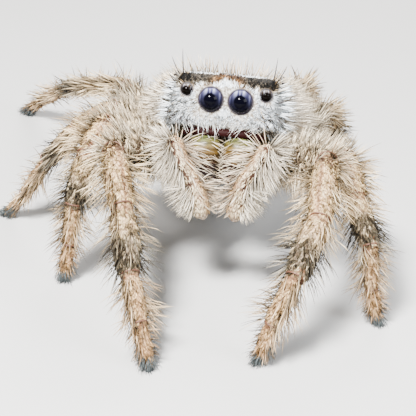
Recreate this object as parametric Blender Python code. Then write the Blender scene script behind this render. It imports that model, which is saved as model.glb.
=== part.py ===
"""Jumping spider, life size, standing on a level floor with its face turned up to the viewer.

The spider faces -Y, its left side is +X, and the floor is Z = 0. Lengths are in millimetres until
the meshes are written, which is in metres. The head and thorax are laid out in their own frame:
across (towards the spider's left), back (towards its tail) and up, from the point midway between
the two big front eyes. A leg is laid out as five straight lengths, each with a heading, measured
from the sideways direction towards the tail, and a rise above the horizontal. Every solid reaches
out to the tips of the coat that covers it.
"""

import math

import bmesh
import bpy
from mathutils import Matrix, Vector

MM = 0.001

# Stance of the head and thorax: the point between the big front eyes, and how the body is turned.
EYE_POINT = Vector((1.237, -3.296, 4.65))
BODY_PITCH = math.radians(20.0)
BODY_YAW = math.radians(4.0)

# Head and thorax, a loft along "back": back, half width, top, bottom, narrowing towards the top.
WIDEST_LEVEL = -0.30
CARAPACE_SECTIONS = (
    (0.00, 0.80, 0.42, -0.62, 0.12),
    (0.05, 1.08, 0.56, -0.72, 0.12),
    (0.17, 1.30, 0.65, -0.77, 0.12),
    (0.50, 1.52, 0.68, -0.80, 0.12),
    (0.90, 1.68, 0.66, -0.92, 0.11),
    (1.30, 1.84, 0.64, -1.30, 0.10),
    (1.90, 2.02, 0.57, -1.42, 0.08),
    (2.60, 2.07, 0.42, -1.36, 0.05),
    (3.30, 1.92, 0.16, -1.22, 0.02),
    (3.90, 1.56, -0.16, -1.08, 0.0),
    (4.35, 1.14, -0.46, -1.02, 0.0),
    (4.60, 0.62, -0.62, -0.96, 0.0),
)
CARAPACE_SIDES = 24
# The upper half has square corners over the face and rounds off further back.
BROW_SQUARENESS, TOP_SQUARENESS = 6.0, 2.7
# The lower half is broad across the face and narrows to a keel further back.
FACE_SQUARENESS, KEEL_SQUARENESS = 3.2, 1.6
FACE_ENDS, KEEL_STARTS = 0.55, 1.30

# Eyes. Front pairs: across, back and up of the left eye's centre, and radius. The two pairs on the
# sides of the head: back, angle round the head's section in degrees, and radius.
FRONT_EYES = {
    "front_middle": (0.36, 0.06, 0.0, 0.30),
    "front_side": (0.95, 0.10, 0.19, 0.155),
}
SIDE_EYES = {
    "small_upper": (0.80, 38.0, 0.07),
    "rear": (1.62, 36.0, 0.15),
}
EYE_SINK = 0.35
SOCKET_CLEARANCE = 0.02

# Jaws and their fangs.
JAW_TOP, JAW_LENGTH = -0.83, 1.28
JAW_OFFSET, JAW_BACK = 0.425, 0.34
JAW_HALF_WIDTH, JAW_HALF_DEPTH = 0.385, 0.39
JAW_LEAN = math.radians(4.0)
FANG_LENGTH, FANG_RADIUS = 0.46, 0.085

# Feelers: points of the left one in the head's frame, from the mouthparts to the tip.
FEELER_POINTS = ((0.42, 1.10, -1.66), (1.08, 0.62, -1.72), (1.13, -0.60, -1.04), (0.62, -0.90, -1.84))
FEELER_SIZES = (0.17, 0.22, 0.27, 0.24)
# Back and up of the tips, and how far across each one swings.
FEELER_TIP = (-0.92, -2.84)
FEELER_SWING = {"left": 0.47, "right": -0.20}
FEELER_TIP_SIZES = (0.22, 0.36, 0.20)

# Waist, abdomen and spinnerets, in the world's directions from EYE_POINT.
ABDOMEN_CENTRE = Vector((0.20, 6.42, -3.42))
ABDOMEN_LENGTH, ABDOMEN_WIDTH, ABDOMEN_HEIGHT = 4.7, 3.1, 1.78
ABDOMEN_DIP = math.radians(18.5)
ABDOMEN_FULLEST = 0.54
WAIST_RADIUS = 0.18
SPINNERET_LENGTH, SPINNERET_RADIUS = 0.52, 0.24

# Legs: femur, patella, tibia, metatarsus and tarsus with its claw tuft.
LEG_LENGTHS = {
    1: (2.65, 1.60, 1.55, 1.20, 1.16),
    2: (2.20, 1.25, 1.25, 1.10, 1.10),
    3: (2.40, 1.20, 1.40, 1.40, 1.10),
    4: (2.85, 1.45, 2.10, 2.15, 1.20),
}
SEGMENTS = ("femur", "patella", "tibia", "metatarsus", "tarsus")
# Half width and half height near the start, at the middle and near the end of each length.
SEGMENT_SIZES = {
    "femur": ((0.31, 0.31), (0.45, 0.50), (0.36, 0.38)),
    "patella": ((0.36, 0.36), (0.42, 0.41), (0.36, 0.35)),
    "tibia": ((0.35, 0.35), (0.42, 0.40), (0.33, 0.33)),
    "metatarsus": ((0.31, 0.31), (0.38, 0.33), (0.29, 0.28)),
    "tarsus": ((0.27, 0.27), (0.31, 0.28), (0.24, 0.21)),
}
LEG_SCALE = {1: 1.0, 2: 0.91, 3: 0.84, 4: 0.90}
# Where each left leg leaves the chest: root of the coxa, and the hip, across, back and up.
COXA_ROOTS = {1: (0.50, 1.62, -1.84), 2: (0.56, 2.22, -1.86), 3: (0.56, 2.86, -1.86), 4: (0.46, 3.46, -1.80)}
HIPS = {1: (1.35, 1.35, -1.45), 2: (1.50, 2.02, -1.50), 3: (1.53, 3.00, -1.58), 4: (1.32, 3.70, -1.61)}
COXA_SIZE = 0.25
# Headings of the five lengths, and rises of the first four; the tarsus then falls to the floor.
STANCE = {
    "right_leg_1": ((-59, -104, -106, -109, -139), (20, -30, -48, -38)),
    "right_leg_2": ((-36, -73, -27, -27, -45), (32, -17, -76, -84)),
    "right_leg_3": ((-36, 9, 19, 27, 20), (44, -37, -51, -58)),
    "right_leg_4": ((52, 53, 53, 57, 41), (21, -15, -21, -30)),
    "left_leg_1": ((-65, -96, -114, -153, -174), (24, -33, -34, -65)),
    "left_leg_2": ((-45, -80, -70, -18, 2), (23, -26, -37, -82)),
    "left_leg_3": ((67, 66, 72, 75, 75), (18, -22, -52, -42)),
    "left_leg_4": ((80, 80, 82, 82, 82), (21, -12, -36, -27)),
}
SOLE_DEPTH = 0.05
JOINT_GAP = 0.04
JOINT_CLEARANCE = 0.42
SEGMENT_SIDES, SEGMENT_RINGS = 10, 7

COLOURS = {
    "coat": (0.70, 0.58, 0.42),
    "leg": (0.66, 0.50, 0.34),
    "leg_band": (0.36, 0.32, 0.28),
    "jaw": (0.42, 0.38, 0.16),
    "fang": (0.10, 0.03, 0.02),
    "eye": (0.01, 0.01, 0.03),
    "bare": (0.45, 0.33, 0.24),
}


def remove_everything():
    for old in list(bpy.data.objects):
        bpy.data.objects.remove(old, do_unlink=True)


def new_collection(name):
    group = bpy.data.collections.new(name)
    bpy.context.scene.collection.children.link(group)
    return group


def principled(name, colour, roughness=0.7):
    material = bpy.data.materials.new(name)
    material.use_nodes = True
    shader = material.node_tree.nodes["Principled BSDF"]
    shader.inputs["Base Color"].default_value = (*colour, 1.0)
    shader.inputs["Roughness"].default_value = roughness
    shader.inputs["Metallic"].default_value = 0.0
    return material


def body_axes():
    """The head frame's across, back and up directions in the world."""
    back = Vector((math.sin(BODY_YAW) * math.cos(BODY_PITCH), math.cos(BODY_YAW) * math.cos(BODY_PITCH),
                   -math.sin(BODY_PITCH)))
    across = Vector((math.cos(BODY_YAW), -math.sin(BODY_YAW), 0.0))
    return across, back, across.cross(back)


def body_point(across, back, up):
    """A point of the head's frame, in the world, in millimetres."""
    axes = body_axes()
    return EYE_POINT + across * axes[0] + back * axes[1] + up * axes[2]


def body_matrix():
    """Turns head-frame coordinates in millimetres into the world in metres."""
    turn = Matrix(body_axes()).transposed().to_4x4()
    return Matrix.Translation(EYE_POINT * MM) @ turn @ Matrix.Scale(MM, 4)


def finish(bm, name, group, parent, material, place=None, smooth_angle=50.0):
    """Makes a bmesh laid out in millimetres into a named object, its origin at place."""
    bm.normal_update()
    bmesh.ops.recalc_face_normals(bm, faces=bm.faces)
    mesh = bpy.data.meshes.new(name)
    bm.to_mesh(mesh)
    bm.free()
    mesh.transform(Matrix.Scale(MM, 4))
    mesh.shade_smooth()
    mesh.set_sharp_from_angle(angle=math.radians(smooth_angle))
    mesh.materials.append(material)
    obj = bpy.data.objects.new(name, mesh)
    group.objects.link(obj)
    obj.parent = parent
    obj.matrix_world = place if place is not None else Matrix.Identity(4)
    return obj


def blend_sizes(sizes, t):
    """A smooth curve through a start, middle and end size, at t from 0 to 1."""
    first, middle, last = sizes
    return first * (1 - t) * (1 - 2 * t) + middle * 4 * t * (1 - t) + last * t * (2 * t - 1)


def rounded_length(length, widths, heights, sides=SEGMENT_SIDES, rings=SEGMENT_RINGS, fullness=0.4):
    """A sphere drawn out along +X into a round-ended limb with the given half widths and heights."""
    bm = bmesh.new()
    bmesh.ops.create_uvsphere(bm, u_segments=sides, v_segments=rings, radius=1.0)
    for vert in bm.verts:
        along = min(1.0, max(-1.0, vert.co.z))
        t = (1.0 + along) / 2.0
        ring = math.sqrt(max(0.0, 1.0 - along * along))
        swell = ring ** fullness
        turn = math.atan2(vert.co.y, vert.co.x)
        side = math.cos(turn) if ring > 1e-6 else 0.0
        top = math.sin(turn) if ring > 1e-6 else 0.0
        vert.co = Vector((t * length, side * swell * blend_sizes(widths, t), top * swell * blend_sizes(heights, t)))
    return bm


def direction(side, heading, rise):
    """Unit vector for a heading from sideways towards the tail, and a rise, both in degrees."""
    turn, tilt = math.radians(heading), math.radians(rise)
    return Vector((side * math.cos(turn) * math.cos(tilt), math.sin(turn) * math.cos(tilt), math.sin(tilt)))


def frame_along(start, ahead, up=Vector((0, 0, 1))):
    """Matrix in metres whose X runs along ahead from start, with Z as near up as it can be."""
    x = ahead.normalized()
    y = up.cross(x)
    if y.length < 1e-4:
        y = Vector((0, 1, 0))
    y.normalize()
    return Matrix.Translation(start * MM) @ Matrix((x, y, x.cross(y))).transposed().to_4x4()


def leg_points(leg):
    """Hip, knee and the joints down to the sole of one leg, in millimetres."""
    side = 1 if leg.startswith("left") else -1
    number = int(leg[-1])
    headings, rises = STANCE[leg]
    hip = HIPS[number]
    points = [body_point(side * hip[0], hip[1], hip[2])]
    for index, length in enumerate(LEG_LENGTHS[number]):
        if index < len(rises):
            rise = rises[index]
        else:
            rise = math.degrees(math.asin(max(-0.99, (-SOLE_DEPTH - points[-1].z) / length)))
        points.append(points[-1] + length * direction(side, headings[index], rise))
    return points


def joint_setback(before, after, end_size):
    """How far a round end stays short of a joint so that it clears its neighbour at this bend."""
    bend = before.angle(after)
    return end_size * JOINT_CLEARANCE * math.tan(bend / 2.0) + JOINT_GAP / 2.0


def thigh(points, number, side, sizes):
    """Coxa, trochanter and femur: one swept limb from the chest through the hip to the knee."""
    root = COXA_ROOTS[number]
    start = body_point(side * root[0], root[1], root[2])
    hip, knee = points[0], points[1]
    back_off = joint_setback(knee - hip, points[2] - knee, sizes[2][1])
    end = knee - (knee - hip).normalized() * back_off
    bend = 0.45 * (hip - start).length
    before = hip - (hip - start).normalized() * bend
    after = hip + (knee - hip).normalized() * bend
    stations = [(start, 0.0, COXA_SIZE * 0.75), (start.lerp(before, 0.35), 0.0, COXA_SIZE), (before, 0.0, COXA_SIZE)]
    stations.append((before.lerp(hip, 0.5).lerp(hip.lerp(after, 0.5), 0.5), 0.0, COXA_SIZE * 1.02))
    for t in (0.12, 0.34, 0.62, 0.86, 0.975):
        stations.append((after.lerp(end, t), t, None))
    stations.append((end, 1.0, 0.0))
    axis_chest, axis_thigh = (hip - start).normalized(), (knee - hip).normalized()
    bm = bmesh.new()
    loops = []
    for centre, t, fixed in stations[:-1]:
        ahead = axis_thigh if fixed is None else axis_chest
        if fixed is not None and centre is stations[3][0]:
            ahead = (axis_chest + axis_thigh).normalized()
        wide = Vector((0, 0, 1)).cross(ahead).normalized()
        high = ahead.cross(wide)
        end_round = 1.0 if t < 0.9 else 0.62
        half_w = fixed if fixed is not None else blend_sizes([s[0] for s in sizes], t) * end_round
        half_h = fixed if fixed is not None else blend_sizes([s[1] for s in sizes], t) * end_round
        loop = []
        for k in range(SEGMENT_SIDES):
            turn = 2 * math.pi * k / SEGMENT_SIDES
            loop.append(bm.verts.new(centre + wide * half_w * math.cos(turn) + high * half_h * math.sin(turn)))
        loops.append(loop)
    first_pole = bm.verts.new(start - axis_chest * COXA_SIZE * 0.3)
    last_pole = bm.verts.new(end)
    skin_loops(bm, loops)
    for k in range(SEGMENT_SIDES):
        following = (k + 1) % SEGMENT_SIDES
        bm.faces.new((first_pole, loops[0][following], loops[0][k]))
        bm.faces.new((last_pole, loops[-1][k], loops[-1][following]))
    place = Matrix.Translation(hip * MM)
    bmesh.ops.translate(bm, verts=bm.verts, vec=-hip)
    return bm, place


def skin_loops(bm, loops):
    """Joins each loop of vertices to the next with quads."""
    for low, high in zip(loops, loops[1:]):
        for k in range(len(low)):
            following = (k + 1) % len(low)
            bm.faces.new((low[k], low[following], high[following], high[k]))


def cut_at_floor(bm, place):
    """Takes off what lies under the floor and closes the cut, which leaves a flat sole."""
    to_local = place.inverted()
    floor_point = (to_local @ Vector((0, 0, 0))) / MM
    floor_normal = (to_local.to_3x3() @ Vector((0, 0, -1))).normalized()
    whole = list(bm.verts) + list(bm.edges) + list(bm.faces)
    cut = bmesh.ops.bisect_plane(bm, geom=whole, dist=1e-5, plane_co=floor_point, plane_no=floor_normal,
                                 clear_outer=True)
    rim = [item for item in cut["geom_cut"] if isinstance(item, bmesh.types.BMEdge)]
    bmesh.ops.edgeloop_fill(bm, edges=rim)


def build_leg(leg, group, rig, materials):
    number = int(leg[-1])
    scale = LEG_SCALE[number]
    points = leg_points(leg)
    for index, segment in enumerate(SEGMENTS):
        name = f"{leg}_{segment}"
        sizes = [(w * scale, h * scale) for w, h in SEGMENT_SIZES[segment]]
        material = materials["leg_band"] if segment == "tibia" else materials["leg"]
        if segment == "femur":
            bm, place = thigh(points, number, 1 if leg.startswith("left") else -1, sizes)
            finish(bm, name, group, rig, material, place)
            continue
        ahead = points[index + 1] - points[index]
        start_gap = joint_setback(points[index] - points[index - 1], ahead, sizes[0][1])
        last = segment == "tarsus"
        end_gap = 0.0 if last else joint_setback(ahead, points[index + 2] - points[index + 1], sizes[2][1])
        start = points[index] + ahead.normalized() * start_gap
        bm = rounded_length(ahead.length - start_gap - end_gap, [s[0] for s in sizes], [s[1] for s in sizes])
        place = frame_along(start, ahead)
        if last:
            cut_at_floor(bm, place)
        finish(bm, name, group, rig, material, place)


def section_point(section, turn):
    """A point of the head and thorax's outline at one section, across and up."""
    back, half_width, top, bottom, narrowing = section
    side, rise = math.cos(turn), math.sin(turn)
    keel = min(1.0, max(0.0, (back - FACE_ENDS) / (KEEL_STARTS - FACE_ENDS)))
    lower = FACE_SQUARENESS + (KEEL_SQUARENESS - FACE_SQUARENESS) * keel
    upper = BROW_SQUARENESS + (TOP_SQUARENESS - BROW_SQUARENESS) * keel
    square = upper if rise > 0 else lower
    middle = min(WIDEST_LEVEL, (top + bottom) / 2.0)
    reach = top - middle if rise > 0 else middle - bottom
    up = math.copysign(abs(rise) ** (2.0 / square), rise)
    across = half_width * math.copysign(abs(side) ** (2.0 / square), side) * (1.0 - narrowing * up)
    return Vector((across, back, middle + reach * up))


def section_at(back):
    """The head and thorax's section at any distance back, between the two that are given."""
    for near, far in zip(CARAPACE_SECTIONS, CARAPACE_SECTIONS[1:]):
        if back <= far[0]:
            share = (back - near[0]) / (far[0] - near[0])
            return tuple(a + (b - a) * share for a, b in zip(near, far))
    return CARAPACE_SECTIONS[-1]


def eye_places():
    """Across, back, up and radius of every eye on the left side, by name."""
    places = dict(FRONT_EYES)
    for name, (back, angle, radius) in SIDE_EYES.items():
        surface = section_point(section_at(back), math.radians(angle))
        inward = (Vector((0.0, back, 0.0)) - surface).normalized()
        centre = surface + inward * radius * EYE_SINK
        places[name] = (centre.x, centre.y, centre.z, radius)
    return places


def build_carapace(group, cutters, rig, material):
    bm = bmesh.new()
    loops = []
    for section in CARAPACE_SECTIONS:
        turns = [2 * math.pi * k / CARAPACE_SIDES for k in range(CARAPACE_SIDES)]
        loops.append([bm.verts.new(section_point(section, turn)) for turn in turns])
    skin_loops(bm, loops)
    bm.faces.new(loops[0])
    bm.faces.new(loops[-1])
    obj = finish(bm, "head_and_thorax", group, rig, material, body_matrix() @ Matrix.Scale(1 / MM, 4))
    for name, (across, back, up, radius) in eye_places().items():
        for side in (1, -1):
            socket = eye_ball(f"socket_{name}_{side:+d}", (side * across, back, up), radius + SOCKET_CLEARANCE,
                              cutters, None, material)
            socket.hide_render = True
            socket.display_type = "WIRE"
            cut = obj.modifiers.new(socket.name, "BOOLEAN")
            cut.operation = "DIFFERENCE"
            cut.solver = "EXACT"
            cut.object = socket
    return obj


def eye_ball(name, place, radius, group, rig, material):
    bm = bmesh.new()
    fine = radius > 0.1
    bmesh.ops.create_uvsphere(bm, u_segments=12 if fine else 8, v_segments=8 if fine else 5, radius=radius,
                              matrix=Matrix.Rotation(math.radians(90), 4, "X"))
    spot = Matrix.Translation(body_point(*place) * MM) @ Matrix(body_axes()).transposed().to_4x4()
    return finish(bm, name, group, rig, material, spot, smooth_angle=80.0)


def build_eyes(group, rig, material):
    for name, (across, back, up, radius) in eye_places().items():
        for side, word in ((1, "left"), (-1, "right")):
            eye_ball(f"{word}_{name}_eye", (side * across, back, up), radius, group, rig, material)


def build_jaws(group, rig, materials):
    across_axis, back_axis, up_axis = body_axes()
    down = (-up_axis * math.cos(JAW_LEAN) + back_axis * math.sin(JAW_LEAN)).normalized()
    for side, word in ((1, "left"), (-1, "right")):
        top = body_point(side * JAW_OFFSET, JAW_BACK, JAW_TOP)
        widths = (JAW_HALF_WIDTH, JAW_HALF_WIDTH, JAW_HALF_WIDTH * 0.72)
        heights = (JAW_HALF_DEPTH, JAW_HALF_DEPTH, JAW_HALF_DEPTH * 0.7)
        bm = rounded_length(JAW_LENGTH, widths, heights, sides=14, rings=9, fullness=0.42)
        finish(bm, f"{word}_jaw", group, rig, materials["jaw"], frame_along(top, down, up=-back_axis))
        tip = top + down * (JAW_LENGTH + 0.14) + back_axis * 0.12 + across_axis * side * 0.14
        inward = (-side * across_axis * 0.92 + back_axis * 0.25 - up_axis * 0.06).normalized()
        bm = rounded_length(FANG_LENGTH, (FANG_RADIUS, FANG_RADIUS * 0.8, 0.02), (FANG_RADIUS, FANG_RADIUS * 0.8, 0.02),
                            sides=8, rings=6)
        finish(bm, f"{word}_fang", group, rig, materials["fang"], frame_along(tip, inward))


def build_feelers(group, rig, material):
    for side, word in ((1, "left"), (-1, "right")):
        points = [body_point(side * x, y, z) for x, y, z in FEELER_POINTS]
        bm = bmesh.new()
        loops = []
        stations = []
        for index in range(len(points) - 1):
            steps = 3 if index else 2
            for step in range(steps):
                stations.append(index + step / steps)
        stations.append(len(points) - 1.0)
        for place in stations:
            index = min(int(place), len(points) - 2)
            local = place - index
            centre = smooth_point(points, index, local)
            ahead = (smooth_point(points, index, min(1.0, local + 0.05)) -
                     smooth_point(points, index, max(0.0, local - 0.05))).normalized()
            size = FEELER_SIZES[index] * (1 - local) + FEELER_SIZES[index + 1] * local
            wide = Vector((0, 0, 1)).cross(ahead).normalized()
            high = ahead.cross(wide)
            turns = [2 * math.pi * k / SEGMENT_SIDES for k in range(SEGMENT_SIDES)]
            loops.append([bm.verts.new(centre + size * (wide * math.cos(a) + high * math.sin(a))) for a in turns])
        skin_loops(bm, loops)
        bm.faces.new(loops[0])
        bm.faces.new(loops[-1])
        bmesh.ops.translate(bm, verts=bm.verts, vec=-points[0])
        finish(bm, f"{word}_feeler_limb", group, rig, material, Matrix.Translation(points[0] * MM))
        tip = body_point(FEELER_SWING[word], *FEELER_TIP)
        ahead = tip - points[-1]
        start = points[-1] + ahead.normalized() * 0.16
        bm = rounded_length((tip - start).length, FEELER_TIP_SIZES, FEELER_TIP_SIZES, sides=12, rings=8)
        finish(bm, f"{word}_feeler_tip", group, rig, material, frame_along(start, ahead))


def smooth_point(points, index, t):
    """Catmull-Rom point between points[index] and the next one."""
    before = points[max(0, index - 1)]
    start, end = points[index], points[index + 1]
    after = points[min(len(points) - 1, index + 2)]
    return 0.5 * (2 * start + (end - before) * t + (2 * before - 5 * start + 4 * end - after) * t * t +
                  (3 * start - before - 3 * end + after) * t ** 3)


def build_abdomen(group, rig, materials):
    ahead = Vector((0, math.cos(ABDOMEN_DIP), -math.sin(ABDOMEN_DIP)))
    centre = EYE_POINT + ABDOMEN_CENTRE
    front = centre - ahead * ABDOMEN_LENGTH / 2
    bm = bmesh.new()
    bmesh.ops.create_uvsphere(bm, u_segments=18, v_segments=11, radius=1.0)
    for vert in bm.verts:
        t = (1.0 + vert.co.z) / 2.0
        ring = math.hypot(vert.co.x, vert.co.y)
        shift = t ** (math.log(0.5) / math.log(ABDOMEN_FULLEST))
        taper = 1.0 - 0.16 * (1.0 - shift) ** 2
        side = vert.co.x * ABDOMEN_WIDTH / 2 * taper * ring ** -0.12 if ring > 1e-6 else 0.0
        top = vert.co.y * ABDOMEN_HEIGHT / 2 * taper * ring ** -0.12 if ring > 1e-6 else 0.0
        vert.co = Vector((t * ABDOMEN_LENGTH, side, top))
    finish(bm, "abdomen", group, rig, materials["coat"], frame_along(front, ahead))
    tail = front + ahead * (ABDOMEN_LENGTH + 0.03)
    bm = rounded_length(SPINNERET_LENGTH, (SPINNERET_RADIUS, SPINNERET_RADIUS, SPINNERET_RADIUS * 0.6),
                        (SPINNERET_RADIUS * 0.8, SPINNERET_RADIUS * 0.8, SPINNERET_RADIUS * 0.5), sides=10, rings=6)
    finish(bm, "spinnerets", group, rig, materials["bare"], frame_along(tail, ahead))
    waist_start = body_point(0.0, 4.68, -0.86)
    waist_end = front - ahead * 0.06
    reach = waist_end - waist_start
    bm = rounded_length(reach.length, (WAIST_RADIUS,) * 3, (WAIST_RADIUS,) * 3, sides=10, rings=6, fullness=0.4)
    finish(bm, "waist", group, rig, materials["bare"], frame_along(waist_start, reach))


def main():
    remove_everything()
    group = new_collection("jumping_spider")
    cutters = new_collection("cutters")
    rig = bpy.data.objects.new("stance", None)
    group.objects.link(rig)
    materials = {name: principled(name, colour, 0.08 if name == "eye" else 0.7) for name, colour in COLOURS.items()}
    build_carapace(group, cutters, rig, materials["coat"])
    build_eyes(group, rig, materials["eye"])
    build_jaws(group, rig, materials)
    build_feelers(group, rig, materials["coat"])
    build_abdomen(group, rig, materials)
    for leg in STANCE:
        build_leg(leg, group, rig, materials)


if __name__ == "__main__":
    main()
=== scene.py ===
"""Looks of a life-size jumping spider: skin, eyes, jaws, claws, coat and stage.

The spider faces -Y, its left side is +X and the floor is Z = 0. Shapes are worked out in millimetres
and put into their meshes in metres. The head frame has its own directions: across (towards the
spider's left), back (towards its tail) and up, from the point between the two big front eyes. Joints
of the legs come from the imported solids, so the skin and its coat follow them.
"""

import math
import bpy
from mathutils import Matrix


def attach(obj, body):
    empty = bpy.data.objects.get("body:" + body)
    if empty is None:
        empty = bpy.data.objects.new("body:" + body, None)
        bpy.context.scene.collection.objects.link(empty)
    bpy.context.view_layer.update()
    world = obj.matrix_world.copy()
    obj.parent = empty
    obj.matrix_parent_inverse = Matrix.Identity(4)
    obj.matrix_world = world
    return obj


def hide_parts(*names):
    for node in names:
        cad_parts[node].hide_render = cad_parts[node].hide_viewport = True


bl_info = {
    "name": "Jumping spider",
    "version": (1, 0, 0),
    "blender": (4, 5, 0),
    "location": "3D View > Sidebar > Spider",
    "description": "Makes the skin, eyes, jaws, claws, coat and stage of a life-size jumping spider",
    "category": "Add Mesh",
}

import bpy
import numpy as np
from bpy.props import EnumProperty, FloatProperty, FloatVectorProperty, PointerProperty
from bpy.types import Operator, Panel, PropertyGroup
from mathutils import Matrix, Vector

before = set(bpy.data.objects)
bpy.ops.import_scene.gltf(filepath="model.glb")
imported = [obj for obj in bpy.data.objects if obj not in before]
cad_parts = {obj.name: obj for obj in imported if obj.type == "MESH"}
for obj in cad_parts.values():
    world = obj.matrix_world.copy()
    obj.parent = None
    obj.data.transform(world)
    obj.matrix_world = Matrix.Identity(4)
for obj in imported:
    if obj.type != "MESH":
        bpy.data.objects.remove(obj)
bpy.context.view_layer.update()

MM = 0.001
UP = np.array((0.0, 0.0, 1.0))
SIDES = {"left": 1.0, "right": -1.0}
LEGS = tuple(f"{side}_leg_{number}" for side in SIDES for number in (1, 2, 3, 4))
SEGMENTS = ("femur", "patella", "tibia", "metatarsus", "tarsus")
THIGH = ("coxa", "femur")
LEG_SCALE = {1: 1.0, 2: 0.91, 3: 0.84, 4: 0.90}
PIECE_LIMIT = 200000
FLOOR_GAPS = {"skin": 0.004, "coat": 0.003, "claw": 0.006}

# Where the eyes of the left side look, in the head frame, and how far behind the face the middle of the
# big front ones lies.
EYE_AIMS = {"front_middle": (0.0, -1.0, 0.0), "front_side": (0.22, -1.0, 0.0),
            "small_upper": (0.9, -0.35, 0.35), "rear": (0.9, -0.35, 0.35)}
EYE_DEPTH = 0.06

# Skin of the head and thorax behind the face: back, half width, top, bottom, narrowing to the top.
HEAD_SECTIONS = (
    (0.45, 1.37, 0.62, -0.76, 0.09),
    (0.90, 1.50, 0.58, -0.84, 0.09),
    (1.30, 1.63, 0.54, -1.12, 0.10),
    (1.90, 1.79, 0.46, -1.28, 0.08),
    (2.60, 1.84, 0.31, -1.24, 0.05),
    (3.30, 1.70, 0.05, -1.11, 0.02),
    (3.90, 1.34, -0.27, -0.97, 0.0),
    (4.30, 0.92, -0.54, -0.92, 0.0),
    (4.50, 0.42, -0.68, -0.86, 0.0),
)
WIDEST_LEVEL = -0.30
BROW_SQUARENESS, TOP_SQUARENESS = 7.0, 2.7
FACE_SQUARENESS, KEEL_SQUARENESS = 4.0, 1.6

# Hip and root of the coxa of each left leg, in the head frame.
HIPS = {1: (1.35, 1.35, -1.45), 2: (1.50, 2.02, -1.50), 3: (1.53, 3.00, -1.58), 4: (1.32, 3.70, -1.61)}
COXA_ROOTS = {1: (0.50, 1.62, -1.80), 2: (0.56, 2.22, -1.82), 3: (0.56, 2.86, -1.82), 4: (0.46, 3.46, -1.76)}

# Radius of the skin at the start, middle and end of each length of a leg.
LEG_RADII = {
    "coxa": (0.21, 0.23, 0.21),
    "femur": (0.22, 0.36, 0.26),
    "patella": (0.25, 0.31, 0.26),
    "tibia": (0.24, 0.30, 0.23),
    "metatarsus": (0.20, 0.215, 0.17),
    "tarsus": (0.155, 0.175, 0.11),
}

# Feelers: joints of the left one in the head frame, and the radii of the lengths between them.
FEELER_JOINTS = ((0.42, 1.10, -1.62), (1.06, 0.62, -1.70), (1.12, -0.58, -1.06), (0.90, -0.80, -1.44),
                 (0.62, -0.90, -1.86), (0.40, -0.92, -2.80))
FEELER_RADII = ((0.14, 0.16, 0.15), (0.16, 0.19, 0.17), (0.17, 0.20, 0.18), (0.18, 0.20, 0.18),
                (0.18, 0.25, 0.15))
FEELER_LAST = len(FEELER_RADII) - 1

JAW_TOP, JAW_LENGTH, JAW_OFFSET, JAW_BACK = -0.80, 1.28, 0.405, 0.32

# Breast plate and mouthparts: kind, sides, ends in the head frame on the left, radii.
PARTS_BELOW = (
    ("breast", (1.0,), (0.0, 1.35, -1.72), (0.0, 3.55, -1.62), (0.30, 0.52, 0.26)),
    ("mouth", (1.0, -1.0), (0.20, 1.42, -1.45), (0.24, 0.86, -2.02), (0.16, 0.19, 0.15)),
    ("mouth", (1.0, -1.0), (0.34, 1.25, -1.40), (0.50, 0.98, -1.74), (0.14, 0.18, 0.14)),
)

# Spinnerets of one side: height and distance from the middle, share of the solid's length, radius.
SPINNERETS = ((0.10, 0.13, 0.92, 0.085), (-0.10, 0.11, 0.86, 0.085), (0.0, 0.05, 0.66, 0.05))

# The marks that give skin and hair their colours.
COLOUR_MARKS = ("white", "dark", "warm")


def sizes():
    return bpy.context.scene.spider_sizes


def colours():
    return bpy.context.scene.spider_colours


# ---- lengths and directions


def unit(vectors):
    """Vectors divided by their lengths."""
    vectors = np.asarray(vectors, float)
    return vectors / np.maximum(np.linalg.norm(vectors, axis=-1, keepdims=True), 1e-9)


def dot(a, b):
    return np.sum(a * b, axis=-1, keepdims=True)


def directions(across, back, up):
    """One direction a row from its three parts, each one number or one a row."""
    return np.stack(np.broadcast_arrays(across, back, up), axis=-1)


def full_turn(columns):
    """Angles evenly round a circle, from 0."""
    return np.linspace(0.0, 2 * math.pi, columns, endpoint=False)


def crowded_ends(rows):
    """Shares from 0 to 1, closer together towards both ends: half of 1 less the cosine of a half turn."""
    return (1.0 - np.cos(np.linspace(0.0, math.pi, rows))) / 2.0


def circle(turns, first, second):
    """Cosine of the turn along the first direction plus its sine along the second; each is one
    direction, or one a row."""
    first, second = np.atleast_2d(first)[:, None, :], np.atleast_2d(second)[:, None, :]
    return np.cos(turns)[None, :, None] * first + np.sin(turns)[None, :, None] * second


def off_top(turn):
    """How far a turn round a part lies from the part's top, from 0 to pi."""
    return np.abs(np.angle(np.exp(1j * (turn - math.pi / 2.0))))


def ease(low, high, value):
    """0 below low, 1 above high, and 3x^2 - 2x^3 between them."""
    x = np.clip((value - low) / (high - low), 0.0, 1.0)
    return x * x * (3.0 - 2.0 * x)


def hump(middle, half_width, value):
    """1 at middle, falling smoothly to 0 at half_width either side."""
    return 1.0 - ease(0.0, half_width, np.abs(value - middle))


def ripple(points, wavelength, seed):
    """A smooth random vector field: the sum of four sine waves across space for each direction."""
    rng = np.random.default_rng(seed)
    field = np.zeros((len(points), 3))
    for _ in range(4):
        wave = rng.normal(size=(3, 3)) * (2.0 * math.pi / wavelength) * 0.6
        field += np.sin(points @ wave + rng.uniform(0, 2 * math.pi, 3))
    return field / 2.0


def curve_through(x, table, column):
    """A table's column read at x on a cubic through its rows, with slopes from their neighbours."""
    table = np.asarray(table, float)
    at, value = table[:, 0], table[:, column]
    slope = np.gradient(value, at)
    x = np.clip(x, at[0], at[-1])
    k = np.clip(np.searchsorted(at, x) - 1, 0, len(at) - 2)
    width = at[k + 1] - at[k]
    t = (x - at[k]) / width
    return ((2 * t ** 3 - 3 * t ** 2 + 1) * value[k] + (t ** 3 - 2 * t ** 2 + t) * width * slope[k] +
            (3 * t ** 2 - 2 * t ** 3) * value[k + 1] + (t ** 3 - t ** 2) * width * slope[k + 1])


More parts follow.
